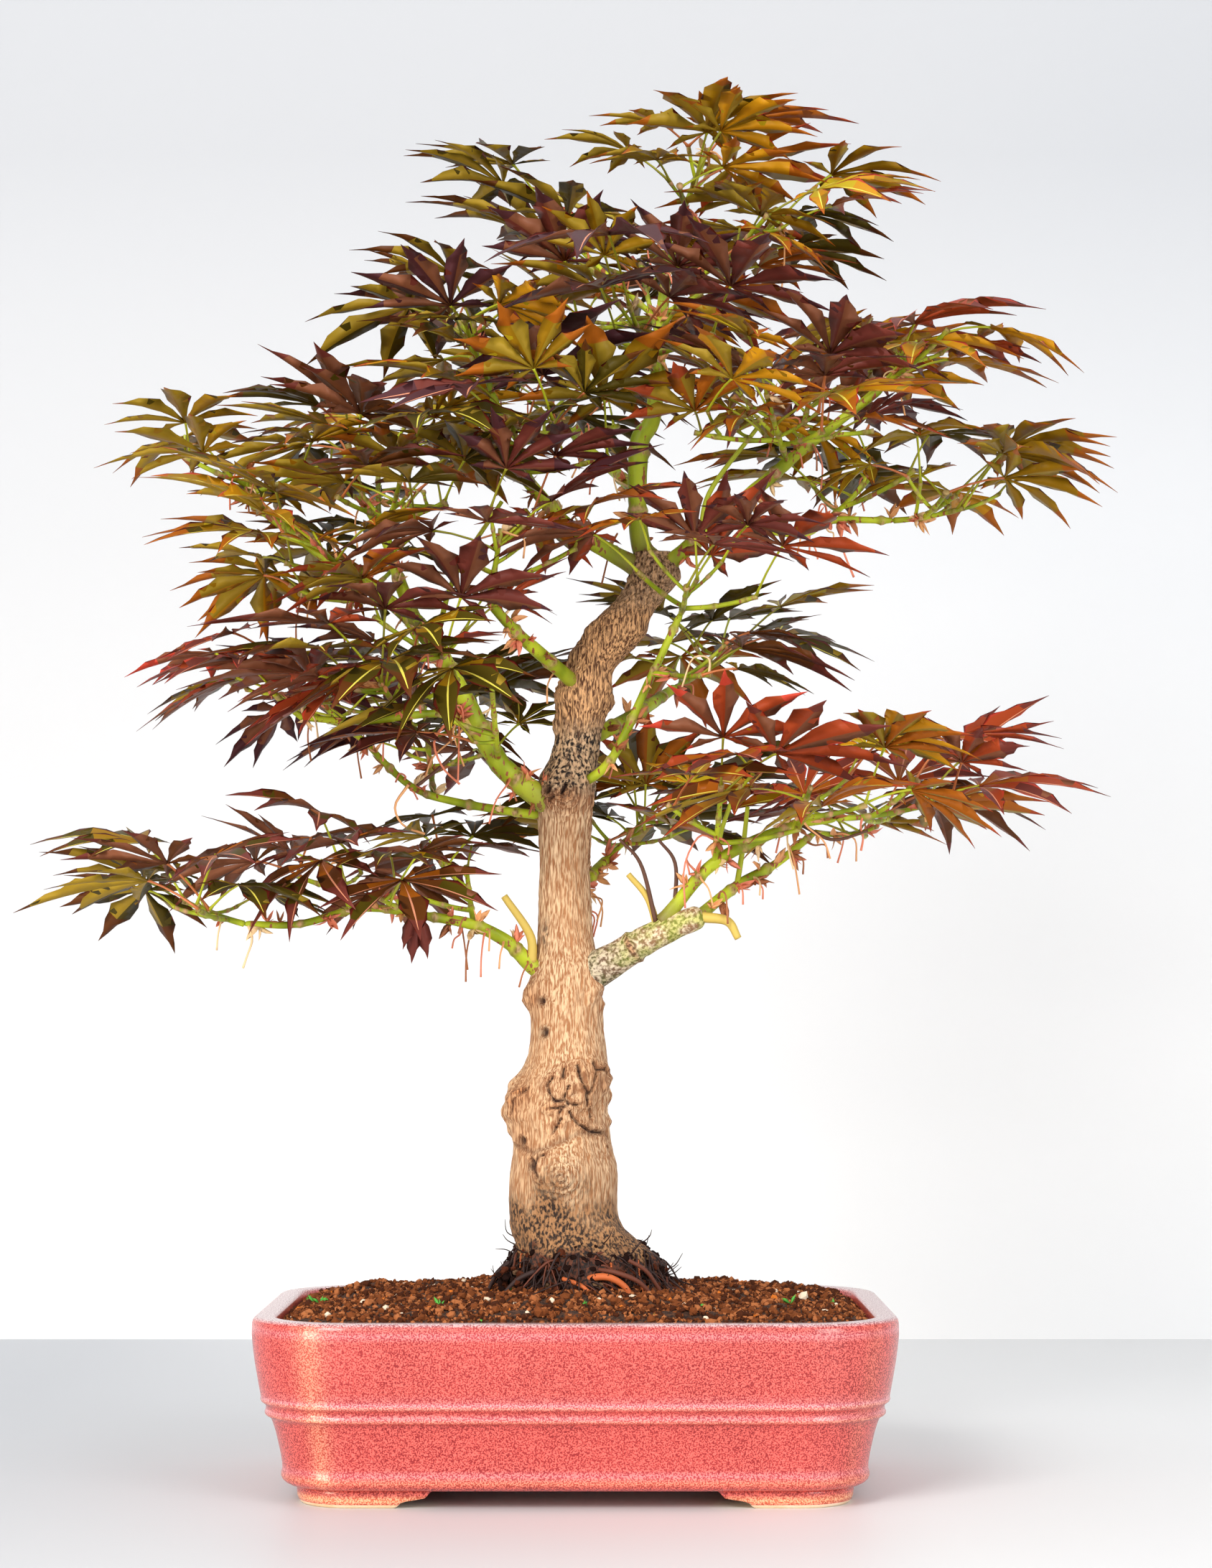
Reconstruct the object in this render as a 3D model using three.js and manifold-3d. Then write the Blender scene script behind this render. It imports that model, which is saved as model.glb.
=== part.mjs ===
// A bonsai japanese maple in a glazed rectangular pot, as a three.js scene graph in millimetres, +Z up.
// The pot stands on z = 0. X runs along the pot's long side, and -Y is the side that the tree is shown from.
import * as THREE from "three";
import { mergeVertices } from "three/addons/utils/BufferGeometryUtils.js";
import Module from "manifold-3d";

const wasm = await Module();
wasm.setup();
const { Manifold } = wasm;

// Driving dimensions, in millimetres.
const POT = { width: 289, depth: 208, height: 82, corner: 46, innerCorner: 4, rim: 11, floor: 14, foot: 8 };
const GROUND = 90; // top of the soil mound, where the trunk is cut flat
const CLEAR = 0.3; // gap between pieces that touch
const LEAF = 62; // length of the middle lobe of a full-size leaf
const LEAF_CORE = 1; // half the thickness of a leaf where its stalk joins it
const STALK = 0.85; // radius of a leaf stalk
const STEM = 1.5; // radius of a mass's stem where it leaves its limb
const TWIG_TIP = 1.05; // radius of a twig at its end
const STAGGER = 2.6; // distance along a twig between the feet of two neighbouring stalks
const END_STEP = 0.3; // place of the last foot before a twig's end, in such distances
const LEAF_GAP = 5; // closest that the veins of two leaves come to each other
const LIMB_GAP = 2.5; // closest that a leaf's veins come to the bark of a limb
const TWIG_GAP = 4; // closest that they come to the stem of a mass
const FLATNESS = 0.66; // height of the space that a mass keeps to itself, as a share of its width
const TRIES = 12; // how often a leaf is turned before it is given up
const DRAWS = 16; // how often a mass is drawn before its leafiest draw is kept
const TIDY = 0.03; // slivers thinner than this are dropped from the finished pieces
const UP = new THREE.Vector3(0, 0, 1);

// Seeded numbers from 0 to 1, the same on every run.
function rolls(seed) {
  let state = (seed * 7919 + 104729) % 2147483647;
  const roll = () => (state = (state * 48271) % 2147483647) / 2147483647;
  for (let i = 0; i < 4; i++) roll();
  return roll;
}

const vec = (p) => new THREE.Vector3(p[0], p[1], p[2]);
const degrees = THREE.MathUtils.degToRad;
const mix = THREE.MathUtils.lerp;
const within = ([low, high], roll) => mix(low, high, roll());

// A closed geometry as a solid, and a solid as a geometry.
function solidOf(geometry) {
  const bare = new THREE.BufferGeometry().setAttribute("position", geometry.getAttribute("position"));
  bare.setIndex(geometry.index);
  const merged = mergeVertices(bare, 1e-4);
  return new Manifold(
    new wasm.Mesh({
      numProp: 3,
      vertProperties: new Float32Array(merged.attributes.position.array),
      triVerts: new Uint32Array(merged.index.array),
    }),
  );
}

function geometryOf(solid) {
  const mesh = solid.getMesh();
  const positions = new Float32Array(mesh.numVert * 3);
  for (let i = 0; i < mesh.numVert; i++) {
    positions.set(mesh.vertProperties.subarray(i * mesh.numProp, i * mesh.numProp + 3), i * 3);
  }
  const geometry = new THREE.BufferGeometry();
  geometry.setAttribute("position", new THREE.BufferAttribute(positions, 3));
  geometry.setIndex(new THREE.BufferAttribute(mesh.triVerts, 1));
  geometry.computeVertexNormals();
  return geometry;
}

// A closed skin over rings of points, all with the same count, with the first and the last ring filled in.
function loft(rings) {
  const count = rings[0].length;
  const last = (rings.length - 1) * count;
  const index = [];
  for (let k = 0; k < last; k += count) {
    for (let i = 0; i < count; i++) {
      const next = (i + 1) % count;
      index.push(k + i, k + next, k + next + count, k + i, k + next + count, k + i + count);
    }
  }
  for (let i = 1; i < count - 1; i++) index.push(0, i + 1, i, last, last + i, last + i + 1);
  const geometry = new THREE.BufferGeometry().setFromPoints(rings.flat());
  geometry.setIndex(index);
  return geometry;
}

// The pot's plan at one height: a rectangle with round corners, drawn in by inset from the rim's outer edge.
function potRing(inset, z, perCorner = 6) {
  const halfX = POT.width / 2 - inset;
  const halfY = POT.depth / 2 - inset;
  const radius = Math.max(POT.corner - inset, POT.innerCorner);
  const ring = [];
  for (let corner = 0; corner < 4; corner++) {
    const sx = corner === 0 || corner === 3 ? 1 : -1;
    const sy = corner < 2 ? 1 : -1;
    for (let i = 0; i < perCorner; i++) {
      const angle = (corner + i / (perCorner - 1)) * (Math.PI / 2);
      const x = sx * (halfX - radius) + radius * Math.cos(angle);
      const y = sy * (halfY - radius) + radius * Math.sin(angle);
      ring.push(new THREE.Vector3(x, y, z));
    }
  }
  return ring;
}

// Outside of the wall from the underside to the rim, as [inset, height]: lower lip, belt and rolled rim.
const WALL_OUTSIDE = [
  [20, POT.foot],
  [15.5, 9.5],
  [13.4, 12],
  [14, 15.5],
  [8.4, 38],
  [6.2, 39.5],
  [5.8, 42],
  [4.4, 45],
  [3.8, 47],
  [1.2, 62],
  [0, 74],
  [0.3, 79.5],
  [2.2, POT.height],
];
const WALL_INSIDE = [
  [POT.rim - 1.6, POT.height],
  [POT.rim, 80.2],
  [POT.rim + 2, 62],
  [POT.rim + 10, 22],
  [POT.rim + 16, POT.floor],
];
const SOIL_SIDE = 77.5; // height of the soil where it meets the wall
// The bracket feet: their outer face in from the rim, the toe that is drawn in below it, and their width.
const FOOT = { inset: 20.5, toe: 22.5, toeHeight: 2, width: 22, slope: 13, step: 3 };
// Half the gap between two feet at the ground, on the long and the short sides.
const ARCH = { long: 78, short: 54 };
const DRAIN = { radius: 9, offset: 62 };

// The gap under one pair of sides: wide at the ground, narrowing up a slope and a small step to the wall.
function archSolid(half, turned) {
  const narrow = half - FOOT.slope;
  const corners = [
    [-half, -1],
    [half, -1],
    [half, 0.5],
    [narrow, POT.foot - FOOT.step],
    [narrow - FOOT.step, POT.foot],
    [FOOT.step - narrow, POT.foot],
    [-narrow, POT.foot - FOOT.step],
    [-half, 0.5],
  ];
  const outline = new THREE.Shape(corners.map(([x, z]) => new THREE.Vector2(x, z)));
  const depth = POT.width + 2;
  const geometry = new THREE.ExtrudeGeometry(outline, { depth, bevelEnabled: false, steps: 1 });
  geometry.translate(0, 0, -depth / 2).rotateX(Math.PI / 2);
  return solidOf(turned ? geometry.rotateZ(Math.PI / 2) : geometry);
}

// The four bracket feet: a ring under the wall, cut through under each side.
function feetSolid() {
  const { inset, toe, toeHeight, width } = FOOT;
  const outer = solidOf(loft([potRing(toe, 0), potRing(inset, toeHeight), potRing(inset, POT.foot + 2)]));
  const inner = solidOf(loft([potRing(inset + width, -1), potRing(inset + width, POT.foot + 3)]));
  return outer.subtract(inner).subtract(archSolid(ARCH.long, false)).subtract(archSolid(ARCH.short, true));
}

function potSolid() {
  const rings = [...WALL_OUTSIDE, ...WALL_INSIDE].map(([inset, z]) => potRing(inset, z));
  const drains = [-1, 1].map((side) => {
    const plug = new THREE.CylinderGeometry(DRAIN.radius, DRAIN.radius, 2 * POT.floor, 12);
    return solidOf(plug.rotateX(Math.PI / 2).translate(side * DRAIN.offset, 0, POT.floor));
  });
  return Manifold.union([solidOf(loft(rings)), feetSolid()]).subtract(Manifold.union(drains));
}

// The soil's surface from the wall to the flat place under the trunk, as [share of the way, height, bumps].
const MOUND = [
  [0.1, 82.5, 0.6],
  [0.35, 85, 1],
  [0.65, 87, 0.8],
  [1, GROUND, 0],
];
const PAD = { x: 1, radius: 43 };
// Heaps of granules on it, in rings: each ring's share of the way and count, and how far heaps stand out.
const HEAPS = { rings: [[0.32, 18], [0.66, 12]], radius: [9, 12], out: [1.7, 2.8], flat: 0.4 };

// The soil's height without its bumps, at a share of the way from the wall to the trunk.
function moundHeight(share) {
  const knots = [[0, SOIL_SIDE], ...MOUND];
  const next = Math.max(1, knots.findIndex(([at]) => at >= share));
  const [low, high] = [knots[next - 1], knots[next]];
  return mix(low[1], high[1], (share - low[0]) / (high[0] - low[0]));
}

// Middles and radii of the heaps. The pot's inner wall is taken as a rounded oblong here.
function heaps() {
  const roll = rolls(17);
  const half = [POT.width / 2 - POT.rim, POT.depth / 2 - POT.rim];
  return HEAPS.rings.flatMap(([share, count]) =>
    Array.from({ length: count }, (_, i) => {
      const angle = (2 * Math.PI * (i + 0.6 * roll())) / count;
      const wall = ((Math.cos(angle) / half[0]) ** 4 + (Math.sin(angle) / half[1]) ** 4) ** -0.25;
      const reach = mix(wall, PAD.radius, share);
      const radius = within(HEAPS.radius, roll);
      const z = moundHeight(share) + within(HEAPS.out, roll) - HEAPS.flat * radius;
      return { middle: new THREE.Vector3(reach * Math.cos(angle), reach * Math.sin(angle), z), radius };
    }),
  );
}

const heapSolid = ({ middle, radius }) =>
  solidOf(new THREE.IcosahedronGeometry(radius, 0).scale(1, 1, HEAPS.flat).translate(...middle));

// The soil fills the pot clear of its wall.
function soilSolid() {
  const inside = WALL_INSIDE.slice(2).reverse().map(([inset, z]) => potRing(inset + CLEAR, z + CLEAR));
  const side = potRing(POT.rim + 2 * CLEAR, SOIL_SIDE);
  const bump = rolls(5);
  const mound = MOUND.map(([share, height, bumps]) =>
    side.map((p) => {
      const angle = Math.atan2(p.y / POT.depth, p.x / POT.width);
      const z = height + bumps * (2 * bump() - 1);
      const pad = new THREE.Vector3(PAD.x + PAD.radius * Math.cos(angle), PAD.radius * Math.sin(angle), z);
      return p.clone().setZ(z).lerp(pad, share);
    }),
  );
  return Manifold.union([solidOf(loft([...inside, side, ...mound])), ...heaps().map(heapSolid)]);
}

// A smooth line through knots of [x, y, z, radius], sampled evenly between them.
function track(knots, perSpan) {
  const curve = new THREE.CatmullRomCurve3(knots.map(vec), false, "catmullrom", 0.5);
  const spans = knots.length - 1;
  const steps = spans * perSpan;
  const samples = [];
  for (let i = 0; i <= steps; i++) {
    const at = Math.min(Math.floor(i / perSpan), spans - 1);
    const radius = mix(knots[at][3], knots[at + 1][3], i / perSpan - at);
    samples.push({ point: curve.getPoint(i / steps), along: curve.getTangent(i / steps), radius });
  }
  return samples;
}

// A tube round a track. Its radius is scaled so that a tube of few sides holds as much as a round one.
// shape(angle, sample) scales the radius again, grow adds to it and to the ends, and level keeps rings flat.
function tube(samples, sides, { grow = 0, shape = () => 1, level = false } = {}) {
  const round = Math.sqrt((2 * Math.PI) / (sides * Math.sin((2 * Math.PI) / sides)));
  const side = new THREE.Vector3().crossVectors(samples[0].along, UP);
  if (level || side.lengthSq() < 0.01) side.set(1, 0, 0);
  const last = samples.length - 1;
  const rings = samples.map((sample, k) => {
    const axis = level ? UP : sample.along;
    side.addScaledVector(axis, -side.dot(axis)).normalize();
    const other = new THREE.Vector3().crossVectors(axis, side);
    const stretch = level ? 0 : grow * (Number(k === last) - Number(k === 0));
    const middle = sample.point.clone().addScaledVector(axis, stretch);
    return Array.from({ length: sides }, (_, i) => {
      const angle = (2 * Math.PI * i) / sides;
      const radius = round * (sample.radius * shape(angle, sample) + grow);
      const across = side.clone().multiplyScalar(radius * Math.cos(angle));
      return middle.clone().add(across).addScaledVector(other, radius * Math.sin(angle));
    });
  });
  return solidOf(loft(rings));
}

// The trunk as [x, y, z, radius] up its middle: root flare, old burl, two scars, and the knuckle that
// carries the leader.
const TRUNK = [
  [1.5, 0, GROUND + CLEAR, 35],
  [2.5, 0, 97, 33],
  [2.8, 0, 104, 30.8],
  [-1.4, 0, 112, 27.5],
  [-5.5, 0, 121, 25.2],
  [-5.6, 0, 142, 25],
  [-6.5, 0, 157, 22.4],
  [-8.4, 0, 170, 22],
  [-6.4, 0, 184, 20.6],
  [-4.4, 1, 196, 18.2],
  [-3.9, 2, 220, 16.6],
  [-3.4, 3, 236, 15.8],
  [-5.2, 4, 251, 13.2],
  [-6, 5, 280, 11.7],
  [-6, 6, 304, 12.4],
  [-5, 6, 322, 13.2],
  [-2, 6, 334, 10.9],
  [0.4, 6, 351, 10.4],
  [2, 6, 366, 12],
  [5.6, 6, 380, 10.7],
  [14.5, 5, 393, 12.8],
  [22, 4, 404, 12],
  [30, 3, 413, 10.6],
  [36.5, 2, 423, 12],
  [36, 2, 434, 8.6],
];
const TRUNK_SIDES = 14;
// Knobs on the bark, as height, angle round the trunk in degrees, how far each stands out, and its reach.
const KNOBS = [
  { z: 94, angle: -20, out: 6, reach: 24 },
  { z: 92, angle: 200, out: 2, reach: 20 },
  { z: 95, angle: 70, out: 5, reach: 24 },
  { z: 94, angle: 270, out: 4, reach: 20 },
  { z: 146, angle: 262, out: 4, reach: 18 },
  { z: 176, angle: 170, out: 4, reach: 20 },
  { z: 188, angle: 290, out: 3, reach: 20 },
  { z: 228, angle: 195, out: 3, reach: 17 },
  { z: 324, angle: 250, out: 3, reach: 17 },
  { z: 366, angle: 10, out: 2.5, reach: 16 },
  { z: 391, angle: -15, out: 4, reach: 17 },
];

function barkShape(angle, sample) {
  let scale = 1;
  for (const knob of KNOBS) {
    const turn = angle - degrees(knob.angle);
    const around = Math.atan2(Math.sin(turn), Math.cos(turn)) * sample.radius;
    const far = Math.hypot(around, sample.point.z - knob.z) / knob.reach;
    scale += (knob.out / sample.radius) * Math.exp(-2 * far * far);
  }
  return scale;
}

const trunkSolid = (grow) => tube(track(TRUNK, 1), TRUNK_SIDES, { grow, shape: barkShape, level: true });

// Limbs as [x, y, z, radius] from inside what carries them to their tip.
const LIMBS = {
  leader: [
    [36, 2, 428, 5.4], [29.5, 3, 442, 4.5], [29.3, 4, 485, 4.7],
    [36, 3, 500, 3.9], [40, 2, 545, 3], [44, 0, 584, 1.9],
  ],
  low_right_bough: [
    [-2, 2, 231, 8], [15, -4, 240, 7.8], [30, -8, 249, 6.8],
    [45, -11, 256.5, 6.2], [59, -14, 262, 5.4],
  ],
  low_right_rise: [[40, -11, 259, 3.2], [64, -18, 286, 2.9], [98, -26, 302, 2.3], [120, -30, 306, 1.7]],
  low_right_reach: [[54, -13, 259, 3], [75, -2, 276, 2.5], [94, 8, 287, 2], [113, 16, 302, 1.6]],
  low_left_bough: [
    [-8, 2, 232, 4.4], [-20, -2, 238, 4], [-33, -6, 250, 3.2],
    [-50, -10, 258, 2.6], [-74, -14, 262, 2.1],
  ],
  low_left_reach: [
    [-70, -14, 261.5, 1.9], [-99, -18, 265, 1.8],
    [-128, -24, 257.5, 1.7], [-153, -28, 257.5, 1.5],
  ],
  mid_left_bough: [
    [-6, 4, 310, 5.8], [-31, -4, 328, 5.3], [-41, -8, 341, 5],
    [-65, -14, 385, 4.6], [-78, -15, 402, 4.2],
  ],
  mid_left_limb: [
    [-74, -15, 397, 3.6], [-91, -16, 411, 3.1],
    [-108, -18, 421.5, 2.6], [-154, -22, 456, 2],
  ],
  mid_left_fork: [[-74, -14, 396, 3.2], [-83, -12, 418, 3], [-90, -8, 439, 2.5], [-100, 0, 456, 1.9]],
  mid_left_reach: [
    [-42, -8, 344, 2], [-61, -16, 355.5, 1.9],
    [-98, -30, 351, 1.7], [-126, -36, 352, 1.5],
  ],
  mid_left_under: [[-8, 5, 308, 2.3], [-54, 10, 315.5, 1.9], [-79, 16, 324, 1.7], [-102, 22, 346, 1.4]],
  left_shoulder: [[4, 4, 368, 3.6], [-14, -14, 381.5, 3.3], [-27, -30, 391.5, 2.8], [-40, -48, 404, 2]],
  high_left_bough: [
    [30, 2, 426, 4.4], [0, -2, 443, 3.8], [-12, -4, 454, 3.4],
    [-30, -8, 477, 2.8], [-40, -12, 508, 2],
  ],
  high_right_bough: [
    [36, 0, 422, 4], [65, -8, 446, 3.6], [94, -16, 470, 3.1],
    [106, -18, 480, 2.6], [143, -22, 508, 1.8],
  ],
  high_right_reach: [[66, -8, 447, 2.2], [106, 14, 445, 2], [121, 20, 452, 1.8], [152, 22, 452.5, 1.5]],
  back_low_bough: [[-4, 6, 262, 4], [2, 36, 276, 3.4], [14, 70, 292, 2.4]],
  back_mid_bough: [[0, 8, 344, 4.2], [24, 38, 358, 3.5], [48, 84, 378, 2.4]],
  back_high_bough: [[29.4, 4, 462, 3.2], [18, 34, 478, 2.8], [0, 72, 500, 2.1]],
  right_shoot: [[-2, 3, 322, 2.4], [16, -6, 335, 2.2], [34, -10, 372, 1.9], [49, -10, 404, 1.6]],
};
const LIMB_SIDES = 6;
const TWIG_SIDES = 3;
const STOUT = 3; // a limb that starts with a radius above this gets a ring between every two knots

const limbSolid = (knots, grow) => tube(track(knots, knots[0][3] > STOUT ? 2 : 1), LIMB_SIDES, { grow });

// Half of a leaf's lobes, from the middle one back to the one beside the stalk, as angle and length.
const LOBES = [
  [0, 1],
  [34, 0.93],
  [70, 0.74],
  [116, 0.38],
];
const NOTCH = 0.36; // depth of the cuts between lobes, as a share of the leaf's length
const VEIN_STEP = 0.14; // spacing of the points that stand for a leaf's veins, as a share of each vein
const LEAF_SEEDS = 1000; // more than the tries that one mass can need

// How leaves differ: size as a share of a full one, turn and rise of the stalk from its place, fold of the
// blade down from the stalk, bank to one side, stalk's length as a share of the blade's, how wide the lobes
// open, and how far the tips curl down. Angles are in degrees.
const LEAF_WAYS = {
  size: [0.8, 1.15],
  turn: [-30, 30],
  rise: [-12, 12],
  fold: [0, 48],
  bank: [-24, 24],
  stalk: [0.4, 0.72],
  open: [0.9, 1.08],
  curl: [0.06, 0.3],
};

// One leaf: its stalk from the twig, and the plane, size and lobes of its blade, all from one seed.
function drawLeaf(place, seed) {
  const roll = rolls(seed);
  const size = LEAF * place.share * within(LEAF_WAYS.size, roll);
  const turn = place.turn + degrees(within(LEAF_WAYS.turn, roll));
  const rise = place.rise + within(LEAF_WAYS.rise, roll);
  const fold = degrees(within(LEAF_WAYS.fold, roll) - rise);
  const lift = degrees(rise);
  const bank = degrees(within(LEAF_WAYS.bank, roll));
  const length = size * within(LEAF_WAYS.stalk, roll);
  const out = new THREE.Vector3(Math.cos(turn), Math.sin(turn), 0);
  const stalk = out.clone().multiplyScalar(length * Math.cos(lift));
  stalk.addScaledVector(UP, length * Math.sin(lift));
  const base = place.node.clone().add(stalk);
  const forward = out.clone().multiplyScalar(Math.cos(fold)).addScaledVector(UP, -Math.sin(fold));
  const left = new THREE.Vector3().crossVectors(UP, out).applyAxisAngle(forward, bank);
  const face = new THREE.Vector3().crossVectors(forward, left);
  const open = within(LEAF_WAYS.open, roll);
  const curl = within(LEAF_WAYS.curl, roll);
  const sides = [...LOBES.slice(1).reverse().map(([a, l]) => [-a, l]), ...LOBES];
  const lobes = sides.map(([angle, share]) => [degrees(angle) * open, share * size]);
  return { node: place.node, stalk, base, forward, left, face, size, curl, lobes };
}

// A point of the blade: out along an angle, sinking below its plane with the square of the distance.
function onBlade(leaf, angle, distance) {
  const far = distance / leaf.size;
  const along = leaf.forward.clone().multiplyScalar(distance * Math.cos(angle));
  along.addScaledVector(leaf.left, distance * Math.sin(angle));
  return along.addScaledVector(leaf.face, leaf.size * (0.08 * far - leaf.curl * far * far)).add(leaf.base);
}

// The points that stand for a leaf when its room is tested: along every vein and the outer half of its stalk.
function veins(leaf) {
  const points = [];
  for (const [angle, length] of leaf.lobes) {
    for (let far = VEIN_STEP; far < 1; far += VEIN_STEP) points.push(onBlade(leaf, angle, far * length));
    points.push(onBlade(leaf, angle, length));
  }
  for (const far of [0.55, 0.7, 0.85, 1]) points.push(leaf.node.clone().lerp(leaf.base, far));
  return points;
}

// The edge of a blade: tips, the notches between them, and a point behind the stalk.
function bladeRim(leaf) {
  const rim = [];
  leaf.lobes.forEach(([angle, length], i) => {
    rim.push(onBlade(leaf, angle, length));
    const next = leaf.lobes[i + 1];
    if (next) rim.push(onBlade(leaf, (angle + next[0]) / 2, NOTCH * (leaf.size + length) * 0.5));
  });
  rim.push(onBlade(leaf, Math.PI, 0.03 * leaf.size));
  return rim;
}

// A leaf as one closed star: a fan above, and a fan below that narrows to a collar and runs down the stalk.
function leafSolid(leaf, grow = 0) {
  const rim = bladeRim(leaf);
  const core = LEAF_CORE + grow;
  const radius = STALK + grow;
  const down = leaf.stalk.clone().normalize();
  const across = leaf.forward.clone().addScaledVector(down, -leaf.forward.dot(down)).normalize();
  const beside = new THREE.Vector3().crossVectors(down, across);
  const ring = (middle, u, v) =>
    [-60, 60, 180].map((angle) => {
      const reach = u.clone().multiplyScalar(radius * Math.cos(degrees(angle)));
      return reach.addScaledVector(v, radius * Math.sin(degrees(angle))).add(middle);
    });
  const under = leaf.base.clone().addScaledVector(leaf.face, -core);
  const collar = ring(under, leaf.forward, leaf.left);
  const foot = ring(leaf.node, across, beside);
  const apex = leaf.base.clone().addScaledVector(leaf.face, core);
  const points = [apex, ...collar, ...foot, ...rim];
  const first = 7;
  const half = (rim.length - 2) / 2;
  const nearest = (i) => (i === rim.length - 1 ? 3 : i < half ? 1 : 2);
  const index = [];
  rim.forEach((_, i) => {
    const next = (i + 1) % rim.length;
    index.push(0, first + i, first + next, first + next, first + i, nearest(i));
    if (nearest(next) !== nearest(i)) index.push(first + next, nearest(i), nearest(next));
  });
  for (let i = 0; i < 3; i++) {
    const next = (i + 1) % 3;
    index.push(1 + i, 4 + i, 4 + next, 1 + i, 4 + next, 1 + next);
  }
  index.push(4, 6, 5);
  const geometry = new THREE.BufferGeometry().setFromPoints(points);
  geometry.setIndex(index);
  return solidOf(geometry);
}

// Masses of foliage: the limb that each stem leaves and how far along it, where the stem ends, how far the
// leaves reach from there, and the stem's count of nodes.
const MASSES = [
  { name: "low_left_tip", on: "low_left_reach", at: 1, to: [-180, -36, 268], reach: 84, nodes: 2 },
  { name: "low_left_middle", on: "low_left_reach", at: 0.4, to: [-110, -24, 287], reach: 86, nodes: 2 },
  { name: "low_left_near", on: "low_left_bough", at: 1, to: [-90, -32, 269], reach: 82, nodes: 2 },
  { name: "low_left_inner", on: "low_left_bough", at: 0.72, to: [-53, 24, 286], reach: 82, nodes: 2 },
  { name: "mid_left_tip", on: "mid_left_reach", at: 1, to: [-142, -42, 366], reach: 80, nodes: 2 },
  { name: "mid_left_front", on: "mid_left_reach", at: 0.5, to: [-88, -64, 365], reach: 98, nodes: 3 },
  { name: "mid_left_under", on: "mid_left_under", at: 1, to: [-124, 22, 366], reach: 88, nodes: 2 },
  { name: "mid_left_inner", on: "mid_left_bough", at: 0.75, to: [-60, -50, 379], reach: 98, nodes: 2 },
  { name: "left_limb_tip", on: "mid_left_limb", at: 1, to: [-154, -24, 470], reach: 86, nodes: 2 },
  { name: "left_limb_front", on: "mid_left_limb", at: 0.5, to: [-119, -66, 430], reach: 98, nodes: 3 },
  { name: "left_limb_under", on: "mid_left_limb", at: 0.3, to: [-134, 30, 418], reach: 90, nodes: 3 },
  { name: "left_fork_top", on: "mid_left_fork", at: 1, to: [-108, -10, 484], reach: 88, nodes: 3 },
  { name: "left_fork_front", on: "mid_left_fork", at: 0.7, to: [-80, -60, 458], reach: 94, nodes: 3 },
  { name: "left_fork_back", on: "mid_left_fork", at: 0.8, to: [-98, 50, 492], reach: 90, nodes: 3 },
  { name: "left_shoulder", on: "left_shoulder", at: 1, to: [-34, -60, 436], reach: 98, nodes: 3 },
  { name: "left_front_low", on: "mid_left_bough", at: 0.4, to: [-38, -70, 367], reach: 98, nodes: 2 },
  { name: "left_back", on: "mid_left_under", at: 0.5, to: [-78, 104, 372], reach: 98, nodes: 3 },
  { name: "high_left", on: "high_left_bough", at: 1, to: [-48, -16, 534], reach: 88, nodes: 3 },
  { name: "high_left_front", on: "high_left_bough", at: 0.6, to: [-30, -74, 486], reach: 98, nodes: 3 },
  { name: "crown_left", on: "leader", at: 0.8, to: [-18, 0, 600], reach: 86, nodes: 3 },
  { name: "crown_front", on: "leader", at: 0.7, to: [24, -74, 536], reach: 98, nodes: 3 },
  { name: "crown_tip", on: "leader", at: 1, to: [62, -8, 626], reach: 80, nodes: 3 },
  { name: "crown_right", on: "leader", at: 0.86, to: [98, 8, 596], reach: 90, nodes: 3 },
  { name: "crown_back", on: "leader", at: 0.76, to: [31, 76, 590], reach: 92, nodes: 3 },
  { name: "high_right", on: "high_right_bough", at: 1, to: [150, -22, 516], reach: 86, nodes: 3 },
  { name: "high_right_front", on: "high_right_bough", at: 0.6, to: [86, -76, 495], reach: 98, nodes: 3 },
  { name: "high_right_back", on: "high_right_bough", at: 0.7, to: [116, 64, 529], reach: 92, nodes: 3 },
  { name: "right_reach_tip", on: "high_right_reach", at: 1, to: [184, 6, 456], reach: 90, nodes: 2 },
  { name: "right_reach_back", on: "high_right_reach", at: 0.6, to: [145, 60, 481], reach: 98, nodes: 3 },
  { name: "centre_front", on: "right_shoot", at: 1, to: [50, -70, 408], reach: 98, nodes: 3 },
  { name: "right_shoot", on: "right_shoot", at: 0.7, to: [62, -36, 372], reach: 68, nodes: 2 },
  { name: "low_right_inner", on: "low_right_rise", at: 0.33, to: [66, -52, 320], reach: 98, nodes: 3 },
  { name: "low_right_middle", on: "low_right_rise", at: 0.7, to: [106, -62, 318], reach: 98, nodes: 3 },
  { name: "low_right_tip", on: "low_right_rise", at: 1, to: [160, -22, 312], reach: 102, nodes: 3 },
  { name: "low_right_under", on: "low_right_reach", at: 1, to: [140, 44, 304], reach: 98, nodes: 3 },
  { name: "back_low", on: "back_low_bough", at: 1, to: [40, 95, 322], reach: 98, nodes: 3 },
  { name: "back_mid", on: "back_mid_bough", at: 1, to: [75, 116, 400], reach: 98, nodes: 3 },
  { name: "back_high", on: "back_high_bough", at: 1, to: [-16, 106, 524], reach: 98, nodes: 3 },
];

// How masses grow: sag of the stem as a share of its length, where its first and last side nodes are, how far
// stalks and side twigs turn from the stem and rise, the length of side twigs as a share of a leaf's, and how
// the two leaves at a twig's end turn and rise. Angles are in degrees.
const GROWTH = {
  sag: 0.06,
  nodes: [0.35, 0.95],
  endTurn: [26, 58],
  sideTurn: [46, 86],
  rise: [20, 56],
  endRise: [24, 66],
  twigLength: [0.45, 0.75],
  twigLift: [0, 30],
  pairTurn: [30, 64],
  pairRise: [16, 54],
  pairShare: 0.92,
};

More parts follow.
